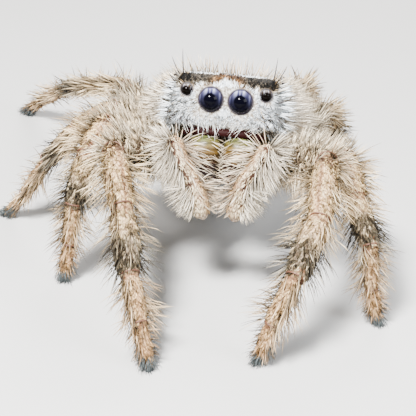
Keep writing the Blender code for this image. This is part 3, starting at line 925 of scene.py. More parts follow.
def mix_colours(tree, factor, first, second, place, blend="MIX"):
    """Mixes two colours by a factor; each may be a socket or a plain value."""
    node = add_node(tree, "ShaderNodeMix", place)
    node.data_type = "RGBA"
    node.blend_type = blend
    for index, value in ((0, factor), (6, first), (7, second)):
        feed(tree, node.inputs[index], value)
    return node.outputs[2]


def math_node(tree, operation, values, place):
    node = add_node(tree, "ShaderNodeMath", place)
    node.operation = operation
    for socket, value in zip(node.inputs, values):
        feed(tree, socket, value)
    return node.outputs[0]


def ramp_node(tree, factor, stops, place):
    """A colour ramp through stops, each a place and a colour, or a place and a shade of grey."""
    node = add_node(tree, "ShaderNodeValToRGB", place)
    stops = [(at, (*(colour if hasattr(colour, "__len__") else (colour,) * 3), 1.0)) for at, colour in stops]
    elements = node.color_ramp.elements
    for element, (at, colour) in zip(elements, (stops[0], stops[-1])):
        element.position, element.color = at, colour
    for at, colour in stops[1:-1]:
        elements.new(at).color = colour
    tree.links.new(factor, node.inputs["Fac"])
    return node.outputs["Color"]


def noise(tree, size_mm, place, detail=3.0):
    """Noise whose blotches are about size_mm across, on the piece's own coordinates."""
    where = add_node(tree, "ShaderNodeTexCoord", (place[0] - 400, place[1]))
    mapping = add_node(tree, "ShaderNodeMapping", (place[0] - 200, place[1]))
    mapping.inputs["Scale"].default_value = (1.0 / (size_mm * MM) / 2.0,) * 3
    tree.links.new(where.outputs["Object"], mapping.inputs["Vector"])
    node = add_node(tree, "ShaderNodeTexNoise", place)
    node.inputs["Scale"].default_value = 1.0
    node.inputs["Detail"].default_value = detail
    tree.links.new(mapping.outputs["Vector"], node.inputs["Vector"])
    return node.outputs["Fac"]


def finished(material, colour, roughness, gloss=None, place=None):
    """The material, once its shader has its colour, roughness and gloss."""
    tree = material.node_tree
    shader = tree.nodes["Principled BSDF"]
    feed(tree, shader.inputs["Base Color"], colour)
    feed(tree, shader.inputs["Roughness"], roughness)
    if gloss is not None:
        shader.inputs["Specular IOR Level"].default_value = gloss
    if place is not None:
        shader.location = place
    return material


def bump(tree, height, strength, depth, place):
    """Turns the shader's normal by a height, as a bump of that depth in metres."""
    node = add_node(tree, "ShaderNodeBump", place)
    node.inputs["Strength"].default_value = strength
    node.inputs["Distance"].default_value = depth
    tree.links.new(height, node.inputs["Height"])
    tree.links.new(node.outputs["Normal"], tree.nodes["Principled BSDF"].inputs["Normal"])


def marked_colour_group():
    """Group that turns the white, dark and warm marks into a colour between the given ones."""
    name = "marked colour"
    if name in bpy.data.node_groups:
        return bpy.data.node_groups[name]
    group = bpy.data.node_groups.new(name, "ShaderNodeTree")
    for word in ("Base", "Tan", "White", "Dark"):
        group.interface.new_socket(word, in_out="INPUT", socket_type="NodeSocketColor")
    group.interface.new_socket("Unevenness", in_out="INPUT", socket_type="NodeSocketFloat")
    group.interface.new_socket("Color", in_out="OUTPUT", socket_type="NodeSocketColor")
    node = add_node(group, "NodeGroupInput", (-900, 0))
    given = {output.name: output for output in node.outputs if output.name}
    result = add_node(group, "NodeGroupOutput", (700, 0))
    blotch = noise(group, 0.30, (-600, -500))
    lean = math_node(group, "MULTIPLY_ADD", (blotch, given["Unevenness"], 0.0), (-400, -500))
    warm = math_node(group, "ADD", (mark_node(group, "warm", (-900, -200)), lean), (-200, -300))
    half = math_node(group, "MULTIPLY", (given["Unevenness"], 0.5), (-400, -650))
    warm = math_node(group, "SUBTRACT", (warm, half), (-50, -300))
    colour = mix_colours(group, warm, given["Base"], given["Tan"], (100, 0))
    colour = mix_colours(group, mark_node(group, "white", (-900, -350)), colour, given["White"], (300, 0))
    colour = mix_colours(group, mark_node(group, "dark", (-900, -500)), colour, given["Dark"], (500, 0))
    group.links.new(colour, result.inputs["Color"])
    return group


def marked_colour(tree, place, base, tan, white, dark, unevenness=0.5):
    """The marks' colour between four given ones, its warm share uneven by that much."""
    node = add_node(tree, "ShaderNodeGroup", place)
    node.node_tree = marked_colour_group()
    for socket, value in zip(node.inputs, (base, tan, white, dark, unevenness)):
        feed(tree, socket, value)
    return node.outputs["Color"]


def coat_material():
    """Hair: the marked colour, with painted shade that darkens it towards the root, and a little different on
    each hair by its tone. White hairs are darkened less by both."""
    if "soft hair" in bpy.data.materials:
        return bpy.data.materials["soft hair"]
    material, tree = empty_material("soft hair")
    given = colours()
    body = marked_colour(tree, (-300, 200), given.cream, given.tan, given.white, given.grey)
    along, tone = mark_node(tree, "along", (-900, 0)), mark_node(tree, "tone", (-900, -200))
    # painted shade: each hair is darkened towards its root, where it lies in the shade of the others
    root_shade = ramp_node(tree, along, ((0.0, (0.055, 0.036, 0.022)), (0.64, 1.0)), (-600, 0))
    white_here = math_node(tree, "MULTIPLY", (mark_node(tree, "white", (-900, 300)), 0.53), (-600, 300))
    root_shade = mix_colours(tree, white_here, root_shade, (0.97, 0.98, 1.0), (-300, 0))
    coloured = mix_colours(tree, 1.0, body, root_shade, (0, 150), "MULTIPLY")
    tones = ((0.24, (0.05, 0.036, 0.025)), (0.52, (0.44, 0.375, 0.30)), (1.0, 1.12))
    own_shade = ramp_node(tree, tone, tones, (-700, -250))
    own_shade = mix_colours(tree, white_here, own_shade, (0.96, 0.98, 1.0), (-300, -250))
    coloured = mix_colours(tree, 1.0, coloured, own_shade, (200, 100), "MULTIPLY")
    return finished(material, coloured, 0.5, 0.10, (500, 100))


def skin_material():
    """Skin: marked like the coat and flecked by noise, with painted shade where the coat is long and below,
    rust at the joints, with a fine bump."""
    material, tree = empty_material("mottled skin")
    given = colours()
    body = marked_colour(tree, (-300, 200), given.cuticle, given.cuticle_tan, given.face_skin,
                         given.cuticle_dark)
    bare = math_node(tree, "MULTIPLY", (mark_node(tree, "bare", (-600, 0)), 0.7), (-400, 0))
    # painted shade: the deep mark darkens the skin towards the shaded skin colour
    body = mix_colours(tree, mark_node(tree, "deep", (-600, -150)), body, given.shaded_cuticle, (-200, 150))
    body = mix_colours(tree, bare, body, given.rust, (-100, 100))
    fleck = ramp_node(tree, noise(tree, 0.030, (-300, -120), 2.0), ((0.42, (0.42, 0.36, 0.30)), (0.62, 1.35)),
                      (-100, -100))
    body = mix_colours(tree, 1.0, body, fleck, (100, 150), "MULTIPLY")
    grain = noise(tree, 0.018, (-300, -350), 4.0)
    bump(tree, grain, 0.9, 0.00002, (100, -350))
    rough = math_node(tree, "MULTIPLY_ADD", (grain, 0.3, 0.55), (100, -150))
    return finished(material, body, rough, 0.15, (400, 100))


def eye_material(name, deep, band_and_reflection, rim, sharpness):
    """A polished eye. How far round from the front a point lies, and how high, are marks on the eye: a dark
    middle, a band of its own ring colour with painted reflection that is strongest at the top, fine upright
    streaks of painted reflection in it with a painted paler highlight on them near the top, and a dark rim."""
    material, tree = empty_material(name)
    away, high = mark_node(tree, "away", (-900, 100)), mark_node(tree, "high", (-900, -100))
    streak = mark_node(tree, "streak", (-900, -300))
    stops = ((0.0, 0.0), (0.46, 0.0), (0.62, 0.55), (0.84, 1.0), (0.94, 0.5), (1.0, 0.0))
    band = ramp_node(tree, away, stops, (-600, 100))
    # painted reflection of light from above: the band grows towards the top as high to the power of
    # sharpness, and is broken into upright streaks
    reflection_from_above = math_node(tree, "POWER", (high, sharpness), (-600, -120))
    reflection_streaks = math_node(tree, "MULTIPLY_ADD", (streak, 0.75, 0.45), (-600, -300))
    reflection_share = math_node(tree, "MULTIPLY", (band, reflection_from_above), (-300, 0))
    reflection_share = math_node(tree, "MULTIPLY", (reflection_share, reflection_streaks), (-150, -50))
    body = mix_colours(tree, reflection_share, deep, band_and_reflection, (50, 100))
    # painted highlight: a pale glint on the streaks near the top
    sharp_streak = math_node(tree, "POWER", (streak, 3.0), (-600, -450))
    near_top = math_node(tree, "POWER", (high, 5.0), (-600, -600))
    painted_glint = math_node(tree, "MULTIPLY", (sharp_streak, near_top), (-300, -500))
    painted_glint = math_node(tree, "MULTIPLY", (painted_glint, band), (-150, -450))
    body = mix_colours(tree, painted_glint, body, (0.50, 0.55, 0.70), (150, 200))
    edge = add_node(tree, "ShaderNodeMapRange", (-150, -200))
    edge.interpolation_type = "SMOOTHSTEP"
    edge.inputs["From Min"].default_value = 0.84
    edge.inputs["From Max"].default_value = 0.97
    tree.links.new(away, edge.inputs["Value"])
    rim_here = math_node(tree, "MULTIPLY", (edge.outputs["Result"], 0.8), (50, -150))
    return finished(material, mix_colours(tree, rim_here, body, rim, (250, 50)), 0.06, 0.035, (500, 100))


def jaw_material():
    """Jaws: olive at the top, gold in the middle and brown below, with fine uneven stripes across
    them, lightly pitted."""
    material, tree = empty_material("jaw sheen")
    given = colours()
    down = mark_node(tree, "down", (-900, 100))
    shift = math_node(tree, "MULTIPLY_ADD", (noise(tree, 0.12, (-900, -150)), 0.3, -0.15), (-700, 0))
    lowered = math_node(tree, "ADD", (down, shift), (-650, 50))
    stops = ((0.08, given.jaw_green), (0.30, given.jaw_gold), (0.62, given.jaw_brown))
    body = ramp_node(tree, lowered, stops, (-600, 100))
    spacing = math_node(tree, "MULTIPLY", (down, 62.0), (-750, -300))
    wave = math_node(tree, "MULTIPLY_ADD", (noise(tree, 0.20, (-900, -550)), 9.0, spacing), (-600, -350))
    wave = math_node(tree, "SINE", (wave,), (-450, -350))
    stripes = math_node(tree, "MULTIPLY_ADD", (wave, 0.34, 0.70), (-300, -350))
    bump(tree, noise(tree, 0.03, (-300, -300)), 0.6, 0.00001, (0, -250))
    return finished(material, mix_colours(tree, 1.0, body, stripes, (-200, 100), "MULTIPLY"), 0.45, 0.22)


def hard_material(name, colour, tip, roughness, gloss=0.5):
    """Fangs, claws, rims and bristles: one colour at the root turning to another at the tip, with a fine
    grain."""
    material, tree = empty_material(name)
    body = mix_colours(tree, mark_node(tree, "along", (-600, 100)), colour, tip, (-300, 100))
    grain = mix_colours(tree, noise(tree, 0.05, (-300, -200)), (0.75,) * 3, (1.2,) * 3, (-100, -100))
    body = mix_colours(tree, 1.0, body, grain, (100, 50), "MULTIPLY")
    return finished(material, body, roughness, gloss, (400, 100))


def tuft_material():
    """Foot tufts: dark blue grey hair, paler at its tips, less so on hairs of a pale tone."""
    material, tree = empty_material("foot tuft")
    tone = colours().tuft
    body = mix_colours(tree, mark_node(tree, "along", (-600, 100)), tuple(0.55 * c for c in tone),
                       tuple(min(1.0, 2.2 * c) for c in tone), (-300, 100))
    body = mix_colours(tree, mark_node(tree, "tone", (-600, -100)), body, tone, (-100, 0))
    return finished(material, body, 0.5)


def floor_material():
    """Plain pale matt floor with a very faint unevenness."""
    material, tree = empty_material("floor")
    tone = colours().floor
    faint = mix_colours(tree, noise(tree, 6.0, (-300, 0)), tuple(0.97 * c for c in tone),
                        tuple(min(1.0, 1.03 * c) for c in tone), (-50, 0))
    return finished(material, faint, 0.85)


# ---- properties


def colour_property(name, description, default):
    return FloatVectorProperty(name=name, description=description, default=default, subtype="COLOR", size=3,
                               min=0.0, max=1.0)


def length_property(name, description, default):
    return FloatProperty(name=name, description=description, default=default, unit="LENGTH")


class SpiderSizes(PropertyGroup):
    """Sizes that a user may change."""

    body_pitch: FloatProperty(name="Body pitch", description="How far the head is tipped up",
                              subtype="ANGLE", default=math.radians(20.0))
    skin_grid: FloatProperty(name="Skin grid", description="Size of the grid that the skin is fused on, "
                             "before it is scaled to life size", default=0.062)
    abdomen_coat: length_property("Abdomen coat", "Depth of the coat on the abdomen", 0.00017)
    flat_hair: length_property("Flat hair", "Length of the hairs that lie along the legs", 0.00026)
    fringe_hair: length_property("Fringe hair", "Length of the hairs that stand out from the legs", 0.00064)
    mane_hair: length_property("Side hair", "Length of the hairs on the sides of the head", 0.00070)
    face_hair: length_property("Face hair", "Length of the short hairs of the face", 0.00015)
    coat_fullness: FloatProperty(name="Coat fullness", description="How many hairs grow, against the usual "
                                 "number", default=1.0, min=0.1, max=1.3)
    view_distance: length_property("View distance", "From the lens to the front eyes", 0.030)


class SpiderColours(PropertyGroup):
    """Colours that a user may change."""

    cream: colour_property("Cream", "Hair of the body and legs", (0.88, 0.68, 0.35))
    tan: colour_property("Tan", "Hair near the joints and feet", (0.66, 0.34, 0.13))
    white: colour_property("White", "Hair of the face", (0.88, 0.95, 1.0))
    grey: colour_property("Dark grey", "Hair of the dark bands", (0.004, 0.0039, 0.0031))
    cuticle: colour_property("Skin", "Skin under the coat of legs, crown and abdomen", (0.36, 0.25, 0.145))
    # painted shade: the colour of skin darkened as shade under the long coat
    shaded_cuticle: colour_property("Shaded skin", "Skin under the long coat", (0.020, 0.010, 0.006))
    cuticle_tan: colour_property("Tan skin", "Skin near the joints and feet", (0.30, 0.155, 0.065))
    cuticle_dark: colour_property("Dark skin", "Skin of the dark bands", (0.040, 0.033, 0.024))
    face_skin: colour_property("Face skin", "Skin under the white face", (0.28, 0.27, 0.25))
    rust: colour_property("Rust", "Bare skin at the joints", (0.060, 0.020, 0.008))
    maroon: colour_property("Maroon", "Rim over the jaws", (0.009, 0.0011, 0.0009))
    jaw_green: colour_property("Jaw green", "Top of the jaws", (0.058, 0.066, 0.016))
    jaw_gold: colour_property("Jaw gold", "Middle of the jaws", (0.090, 0.052, 0.010))
    jaw_brown: colour_property("Jaw brown", "Lower end of the jaws", (0.014, 0.003, 0.002))
    eye_deep: colour_property("Eye", "Middle of the big eyes", (0.0008, 0.0008, 0.002))
    # the big eyes' violet band is their own ring colour, with painted reflection that is strongest at the top
    eye_band_and_reflection: colour_property("Eye band", "Violet band of the big eyes", (0.078, 0.078, 0.175))
    small_eye_deep: colour_property("Small eye", "Middle of the other eyes", (0.0012, 0.0008, 0.0006))
    # the other eyes' pale band is partly their own colour and partly painted reflection, kept to their tops
    small_eye_band_and_reflection: colour_property("Small eye band", "Pale band of the other eyes", (0.30, 0.22, 0.15))
    tuft: colour_property("Foot tuft", "Sticky tuft under the claws", (0.036, 0.045, 0.046))
    floor: colour_property("Floor", "The stage's floor", (0.40, 0.40, 0.395))


# ---- operators


class SPIDER_OT_skin(Operator):
    """One skin over the head, thorax, waist, abdomen, feelers and legs"""

    bl_idname = "spider.skin"
    bl_label = "Skin"

    def execute(self, context):
        shells = [head_surface(), abdomen_surface()] + all_limbs() + small_parts()
        mesh, points = fused_skin(shells, sizes().skin_grid)
        set_marks(mesh, skin_marks(points))
        mesh.name = "skin"
        flesh = ["head_and_thorax", "abdomen", "waist", "spinnerets"]
        flesh += [f"{word}_feeler_{part}" for word in SIDES for part in ("limb", "tip")]
        flesh += [f"{leg}_{segment}" for leg in LEGS for segment in SEGMENTS]
        new_piece("skin", mesh, skin_material(), flesh)
        print(f"SKIN: {sum(len(p.vertices) - 2 for p in mesh.polygons)} triangles")
        return {"FINISHED"}


def eye_ball(word, name):
    """Middle and radius of an eye's solid."""
    node = f"{word}_{name}_eye"
    return node_middle(node), node_radius(node)


def eye_aim(word, name):
    """Where an eye looks, in the world."""
    return np.array(EYE_AIMS[name]) * (SIDES[word], 1.0, 1.0) @ head_frame()[1]


def eye_surface(word, name, rows=34, columns=48):
    """A ball on the place of its solid, its pole where the eye looks, domed there by a share of the
    sixth power of the cosine. Its marks: away is the sine of the angle from the pole, high runs from 0
    at the bottom to 1 at the top, and streak, the pattern of painted reflection streaks, waves from side to
    side."""
    middle, radius = eye_ball(word, name)
    above = head_frame()[1][2]
    pole = unit(eye_aim(word, name))
    up = unit(above - (above @ pole) * pole)
    across = np.cross(up, pole)
    angle, turns = np.linspace(0.0, math.pi, rows), full_turn(columns)
    dome = 1.0 + 0.05 * np.cos(angle) ** 6 * (np.cos(angle) > 0)
    ball = np.cos(angle)[:, None, None] * pole + np.sin(angle)[:, None, None] * circle(turns, across, up)
    points = middle + radius * dome[:, None, None] * ball
    away = np.where(angle > math.pi / 2, 1.0, np.clip(np.sin(angle), 0, 1))[:, None]
    high = 0.5 + 0.5 * np.sin(angle)[:, None] * np.sin(turns)[None, :]
    level = np.sin(angle)[:, None] * np.cos(turns)[None, :]
    streak = 0.5 + 0.5 * np.cos(level * 17.0 + 1.3 + 1.6 * np.sin(level * 7.0 + 0.4))
    marks = {"away": away, "high": high, "streak": streak}
    return surface("eye", points, angle / math.pi, turns, marks=marks)


# The front eyes of each side, with the thickness of the horn ring round them.
FRONT_EYES = {"front_middle": 0.020, "front_side": 0.017}


class SPIDER_OT_eyes(Operator):
    """Eight polished eyes in four pairs, and thin horn rims round the four front ones"""

    bl_idname = "spider.eyes"
    bl_label = "Eyes"

    def execute(self, context):
        given = colours()
        # the band colours carry painted reflection; the last number keeps it towards the top of each eye
        big = eye_material("big eye", given.eye_deep, given.eye_band_and_reflection, (0.012, 0.006, 0.020), 2.4)
        small = eye_material("small eye", given.small_eye_deep, given.small_eye_band_and_reflection, (0.002, 0.001, 0.0008),
                             7.0)
        for word in SIDES:
            for name in EYE_AIMS:
                shells_piece(f"{word}_{name}_eyeball", [eye_surface(word, name)],
                             big if name == "front_middle" else small, [f"{word}_{name}_eye"])
        rings = []
        for word in SIDES:
            for name, thickness in FRONT_EYES.items():
                middle, radius = eye_ball(word, name)
                aim = eye_aim(word, name)
                rings.append(ring_surface(middle + 0.05 * unit(aim), aim, radius * 1.005, thickness))
        horn = (0.014, 0.010, 0.012)
        rings_piece("eye_rims", rings, hard_material("eye rim horn", horn, horn, 0.5), 0.0)
        return {"FINISHED"}


def jaw_surface(side, rows=40, columns=44):
    """One jaw: an oval carried down from the face, full at the front, its lower end rounded and
    bent back a little; half width and half depth are parabolas along it. Its mark is how far down a
    point lies."""
    t, turns = crowded_ends(rows), full_turn(columns)
    ends = np.sqrt(np.clip(1.0 - np.abs(2 * t - 1) ** 5.0, 0.0, 1.0))
    half_width = blend_radii((0.36, 0.385, 0.26), t) * ends
    half_depth = blend_radii((0.34, 0.40, 0.24), t) * ends
    front = -0.05 * np.sin(math.pi * t) + 0.10 * t ** 2
    across = side * (JAW_OFFSET + 0.03 * t)[:, None] + half_width[:, None] * np.cos(turns)[None, :]
    back = JAW_BACK + front[:, None] + half_depth[:, None] * np.sin(turns)[None, :]
    up = np.repeat((JAW_TOP - JAW_LENGTH * t)[:, None], columns, axis=1)
    points = from_head(np.stack((across, back, up), axis=-1))
    return surface("jaw", points, t, turns, marks={"down": t[:, None]})


def rim_surface(rows=60, columns=16):
    """The rim under the face: a circle, swelling to the middle as the square root of 1 - s^8, carried
    along an arch that runs sideways as s, drops as s^2 and s^6, and goes back as s^2. Its mark is the
    share from the middle to either end."""
    share, turns = np.linspace(-1.0, 1.0, rows), full_turn(columns)
    line = directions(share * 1.04, 0.06 + 0.20 * share ** 2, -0.785 - 0.03 * share ** 2 - 0.07 * share ** 6)
    slope = unit(np.gradient(line, axis=0))
    front = unit(np.array((0.0, -1.0, 0.0)) - slope * -slope[:, 1:2])
    radius = 0.102 * np.sqrt(np.clip(1.0 - share ** 8, 0.0, 1.0))
    points = line[:, None, :] + radius[:, None, None] * circle(turns, front, np.cross(slope, front))
    along = (share + 1.0) / 2.0
    return surface("rim", from_head(points), along, turns, marks={"along": np.abs(2 * along[:, None] - 1)})


def hook_surface(start, ahead, side_bend, length, radius, rows=22, columns=12):
    """A hook: a circle that shrinks to nothing, carried along an arc of 1.25 radians that leaves start
    ahead and turns towards side_bend. Its mark is the share along it."""
    t, turns = np.linspace(0.0, 1.0, rows), full_turn(columns)
    ahead, side_bend, whole_arc = unit(ahead), unit(side_bend), 1.25
    sweep = whole_arc * t
    gone = np.sin(sweep)[:, None] * ahead + (1 - np.cos(sweep))[:, None] * side_bend
    line = start + length * gone / whole_arc
    tangent = unit(np.cos(sweep)[:, None] * ahead + np.sin(sweep)[:, None] * side_bend)
    third = unit(np.cross(ahead, side_bend))
    size = radius * (1 - t) ** 0.7 * np.sqrt(np.clip(t / 0.05, 0, 1))
    points = line[:, None, :] + size[:, None, None] * circle(turns, third, np.cross(tangent, third))
    return surface("hook", points, t, turns, marks={"along": t[:, None]})


def ring_surface(middle, pole, radius, thickness, rows=40, columns=10):
    """A flattened ring: a small circle carried round a big one about pole. Its first and last rows meet."""
    pole = unit(pole)
    side = unit(np.cross(pole, UP))
    up = np.cross(side, pole)
    angle, turns = full_turn(rows), full_turn(columns)
    out = np.cos(angle)[:, None] * side + np.sin(angle)[:, None] * up
    points = middle + (radius + thickness * np.cos(turns)[None, :, None]) * out[:, None, :]
    return points + 1.3 * thickness * np.sin(turns)[None, :, None] * pole


def rings_piece(name, rings, material, share):
    """One piece of several rings, each a grid that closes on itself both ways. Its along mark is share."""
    points, quads, first = [], [], 0
    for ring in rings:
        rows, columns = ring.shape[:2]
        at = first + np.arange(rows * columns).reshape(rows, columns)
        along, across = np.roll(at, -1, axis=0), np.roll(at, -1, axis=1)
        points.append(ring.reshape(-1, 3))
        quads.append(np.stack((at, along, np.roll(along, -1, axis=1), across), axis=-1).reshape(-1, 4))
        first += rows * columns
    points, quads = np.vstack(points), np.vstack(quads)
    of_first = rings[0].shape[0] * rings[0].shape[1]
    corners = points[quads[:of_first]] - points[:of_first].mean(axis=0)
    if np.sum(np.cross(corners[:, 0], corners[:, 1]) * corners[:, 2]) < 0:
        quads = quads[:, ::-1]
    mesh = bpy.data.meshes.new(name)
    fill_mesh(mesh, points * MM, quads, NO_FANS)
    set_marks(mesh, {"along": np.full(len(points), share)})
    return new_piece(name, mesh, material)


class SPIDER_OT_jaws(Operator):
    """Two olive jaws that turn gold and brown downwards, their fangs, and the dark red rim over them"""

    bl_idname = "spider.jaws"
    bl_label = "Jaws and fangs"

    def execute(self, context):
        material = jaw_material()
        fang_horn = hard_material("fang horn", (0.16, 0.035, 0.015), (0.012, 0.004, 0.003), 0.18)
        maroon = colours().maroon
        rim_horn = hard_material("rim horn", maroon, tuple(0.6 * c for c in maroon), 0.6, 0.06)
        shells_piece("face_rim", [rim_surface()], rim_horn)
        above = head_frame()[1][2]
        for word, side in SIDES.items():
            shells_piece(f"{word}_jaw_shell", [jaw_surface(side)], material, [f"{word}_jaw"])
            start, end = long_ends(node_cloud(f"{word}_fang"), from_head((side * 2.0, 0.5, -2.2)))
            ahead = unit(end - start)
            hook = hook_surface(start, ahead - 0.5 * above, ahead + 0.6 * above, 0.46, 0.075)
            shells_piece(f"{word}_fang_hook", [hook], fang_horn, [f"{word}_fang"])
        return {"FINISHED"}


def head_cells(head):
    """Across, back and up, in the head frame, of the middle of each cell of the head's grid."""
    middles = (head["points"][1:] + head["points"][:-1]) / 2.0
    middles = (middles + np.roll(middles, -1, axis=1)) / 2.0
    return to_head(middles.reshape(-1, 3)).T.reshape(3, *middles.shape[:2])


def eye_places(names=tuple(EYE_AIMS)):
    """Middle in the head frame, and radius, of the eyes of those names on both sides."""
    balls = [eye_ball(word, name) for word in SIDES for name in names]
    return [(to_head(middle[None])[0], radius) for middle, radius in balls]


def off_eyes(across, back, up, margin=0.0):
    """1 away from the eyes and 0 on them."""
    keep = np.ones_like(across)
    for middle, radius in eye_places():
        distance = np.sqrt((across - middle[0]) ** 2 + (up - middle[2]) ** 2 + (back - middle[1]) ** 2)
        keep *= ease(radius * 1.02 + margin, radius * 1.05 + margin + 0.01, distance)
    return keep


def head_lay(across, back, up):
    """Directions in the world from their parts in the head frame."""
    return directions(across, back, up) @ head_frame()[1]


def on_face(across, back, up):
    """1 on the face in front of the edge of the head, above its rim and off the eyes."""
    return (ease(0.62, 0.42, back) * ease(-0.615, -0.58, up + 0.05 * across ** 2) *
            off_eyes(across, back, up))


def face_hairs(head, rng):
    """Short hairs of the face. They lie away from the four front eyes, outwards and down, and from
    the nose down inwards. Low down they are finer and stand more freely."""
    spots = scatter(head, 8200, rng, on_face(*head_cells(head)))
    local = to_head(spots["root"])
    lay = np.zeros_like(local)
    for middle, radius in eye_places(FRONT_EYES):
        away = local - middle
        away[:, 1] = 0.0
        distance = np.linalg.norm(away, axis=1, keepdims=True)
        lay += away / distance * (radius / distance) ** 2.2
    across, up = local[:, 0], local[:, 2]
    out = np.abs(across)
    low_down = ease(-0.28, -0.46, up)
    lay[:, 0] += 0.30 * np.sign(across) * ease(0.1, 0.6, out) * (up < 0.2)
    lay[:, 2] += np.where(up > 0.30, 0.05 + 0.30 * ease(0.35, 0.15, out), -0.16)
    lay[:, 0] -= 0.70 * np.sign(across) * low_down * ease(0.0, 0.2, out)
    lay = unit(lay) @ head_frame()[1]
    length = 0.85 + 0.9 * ease(0.75, 1.35, out) + 0.1 * ease(-0.35, -0.55, up)
    length = sizes().face_hair / MM * length * (1.0 - 0.52 * ease(-0.44, -0.60, up))
    length *= 1.0 - 0.45 * ease(0.28, 0.40, up) * ease(0.15, 0.35, out)
    upper, lower = low_down < 0.9, low_down >= 0.9
    return [hairs(chosen(spots, keep), rng, length[keep], width, 14.0, lay[keep], curl=0.25, spread=spread,
                  wave=0.12, flat=0.4, clump=clump, members=5)
            for keep, width, spread, clump in ((upper, 0.028, 0.13, 0.5), (lower, 0.018, 0.20, 0.2))]


def corner_hairs(head, rng):
    """Dark stray hairs at the lower corners of the face."""
    across, back, up = head_cells(head)
    corners = 0.04 + 2.5 * ease(0.45, 1.0, np.abs(across)) * ease(0.10, -0.35, up)
    spots = scatter(head, 330, rng, on_face(across, back, up) * corners)
    lay = head_lay(np.sign(to_head(spots["root"])[:, 0]) * 0.8, 0.0, -0.7)
    length = sizes().face_hair / MM * 1.7
    return hairs(spots, rng, length, 0.016, 28.0, lay, spread=0.35, white=-1.0, dark=0.9)


def moustache_hairs(head, rng):
    """Long pale hairs that hang from the lower edge of the face over the rim, towards the middle."""
    across, back, up = head_cells(head)
    over_rim = ease(0.13, 0.03, np.abs(up + 0.50 + 0.05 * across ** 2)) * ease(0.60, 0.40, back)
    spots = scatter(head, 54, rng, over_rim * ease(1.15, 1.05, np.abs(across)))
    across = to_head(spots["root"])[:, 0]
    lay = unit(directions(-1.0 * across - 0.32 * np.sign(across), -0.40, -1.0)) @ head_frame()[1]
    return hairs(spots, rng, 0.42, 0.013, 12.0, lay, spread=0.22, wave=0.30, rings=3, sink=0.03, free=True,
                 bend=-0.25 * UP, white=-0.2, uneven=0.4, clump=0.15, members=3, least_tone=0.35)


def edge_hairs(head, rng):
    """Short white hairs along the head's upper front edge."""
    across, back, up = head_cells(head)
    edge = ease(0.585, 0.605, up) * ease(0.56, 0.44, back)
    spots = scatter(head, 360, rng, edge * ease(1.16, 1.08, np.abs(across)))
    lay = unit(directions(0.15 * to_head(spots["root"])[:, 0], 0.35, 0.9)) @ head_frame()[1]
    return hairs(spots, rng, 0.050, 0.024, 6.0, lay, spread=0.16, white=0.8, dark=-1.0, free=True,
                 least_tone=0.5)


def crest_hairs(head, rng):
    """Sparse long hairs that stand up behind the front edge."""
    across, back, up = head_cells(head)
    crest = ease(0.40, 0.56, up) * hump(0.75, 0.55, back) * ease(1.3, 1.15, np.abs(across))
    spots = scatter(head, 150, rng, crest)
    lay = head_lay(0.5 * to_head(spots["root"])[:, 0], -0.4, 0.9)
    return hairs(spots, rng, 0.46, 0.018, 74.0, lay, curl=0.1, spread=0.14, wave=0.12, rings=4, bend=0.1 * UP,
                 white=0.1, dark=-0.9, warm=-0.2, flat=0.9, uneven=0.4, least_tone=0.10)


class SPIDER_OT_face_coat(Operator):
    """Short white hair of the face, the dark brow band, the moustache and the hairs that stand on the head"""

    bl_idname = "spider.face_coat"
    bl_label = "Face coat"

    def execute(self, context):
        rng, head = np.random.default_rng(11), head_surface()
        batches = face_hairs(head, rng)
        batches += [grow(head, rng) for grow in (corner_hairs, moustache_hairs, edge_hairs, crest_hairs)]
        coat_piece("face_coat", batches)
        return {"FINISHED"}


def flank_hairs(head, rng):
    """Hairs all over the head and thorax behind the face, laid back and a little outwards; on top they
    are shorter and lie flatter."""
    across, back, up = head_cells(head)
    behind = ease(0.36, 0.56, back) * off_eyes(across, back, up, 0.01)
    spots = scatter(head, 5900, rng, behind * (0.6 + 0.6 * (up > -0.2)))
    across, back, up = to_head(spots["root"]).T
    lay = head_lay(0.35 * np.sign(across) * ease(0.2, 1.0, np.abs(across)), 1.0, -0.12)
    on_top = ease(0.0, 0.35, up + 0.28 * (back - 1.0)) * ease(3.0, 2.0, back)
    return hairs(spots, rng, 0.29 - 0.16 * on_top, 0.034, 22.0 - 14.0 * on_top, lay, curl=0.3,
                 spread=0.14 - 0.09 * on_top[:, None], wave=0.20 - 0.12 * on_top[:, None], clump=0.45,
                 members=6)


def crown_hairs(head, rng):
    """A second, flat coat on the crown."""
    _, back, up = head_cells(head)
    on_crown = ease(0.20, 0.36, up + 0.28 * (back - 1.0)) * ease(0.46, 0.54, back)
    spots = scatter(head, 3000, rng, on_crown * (back < 3.4))
    lay = head_lay(0.12 * to_head(spots["root"])[:, 0], 1.0, -0.1)
    return hairs(spots, rng, 0.17, 0.032, 13.0, lay, curl=0.2, wave=0.16, clump=0.5, members=5)


def nape_hairs(head, rng):
    """Long hairs at the rear of the thorax, over the waist."""
    _, back, up = head_cells(head)
    spots = scatter(head, 620, rng, ease(3.5, 3.9, back) * ease(-1.0, -0.8, up))
    lay = head_lay(0.2 * to_head(spots["root"])[:, 0], 1.0, 0.05)
    return hairs(spots, rng, 0.50, 0.028, 34.0, lay, spread=0.14, wave=0.2, rings=3, white=0.2, clump=0.5,
                 members=5, free=True)


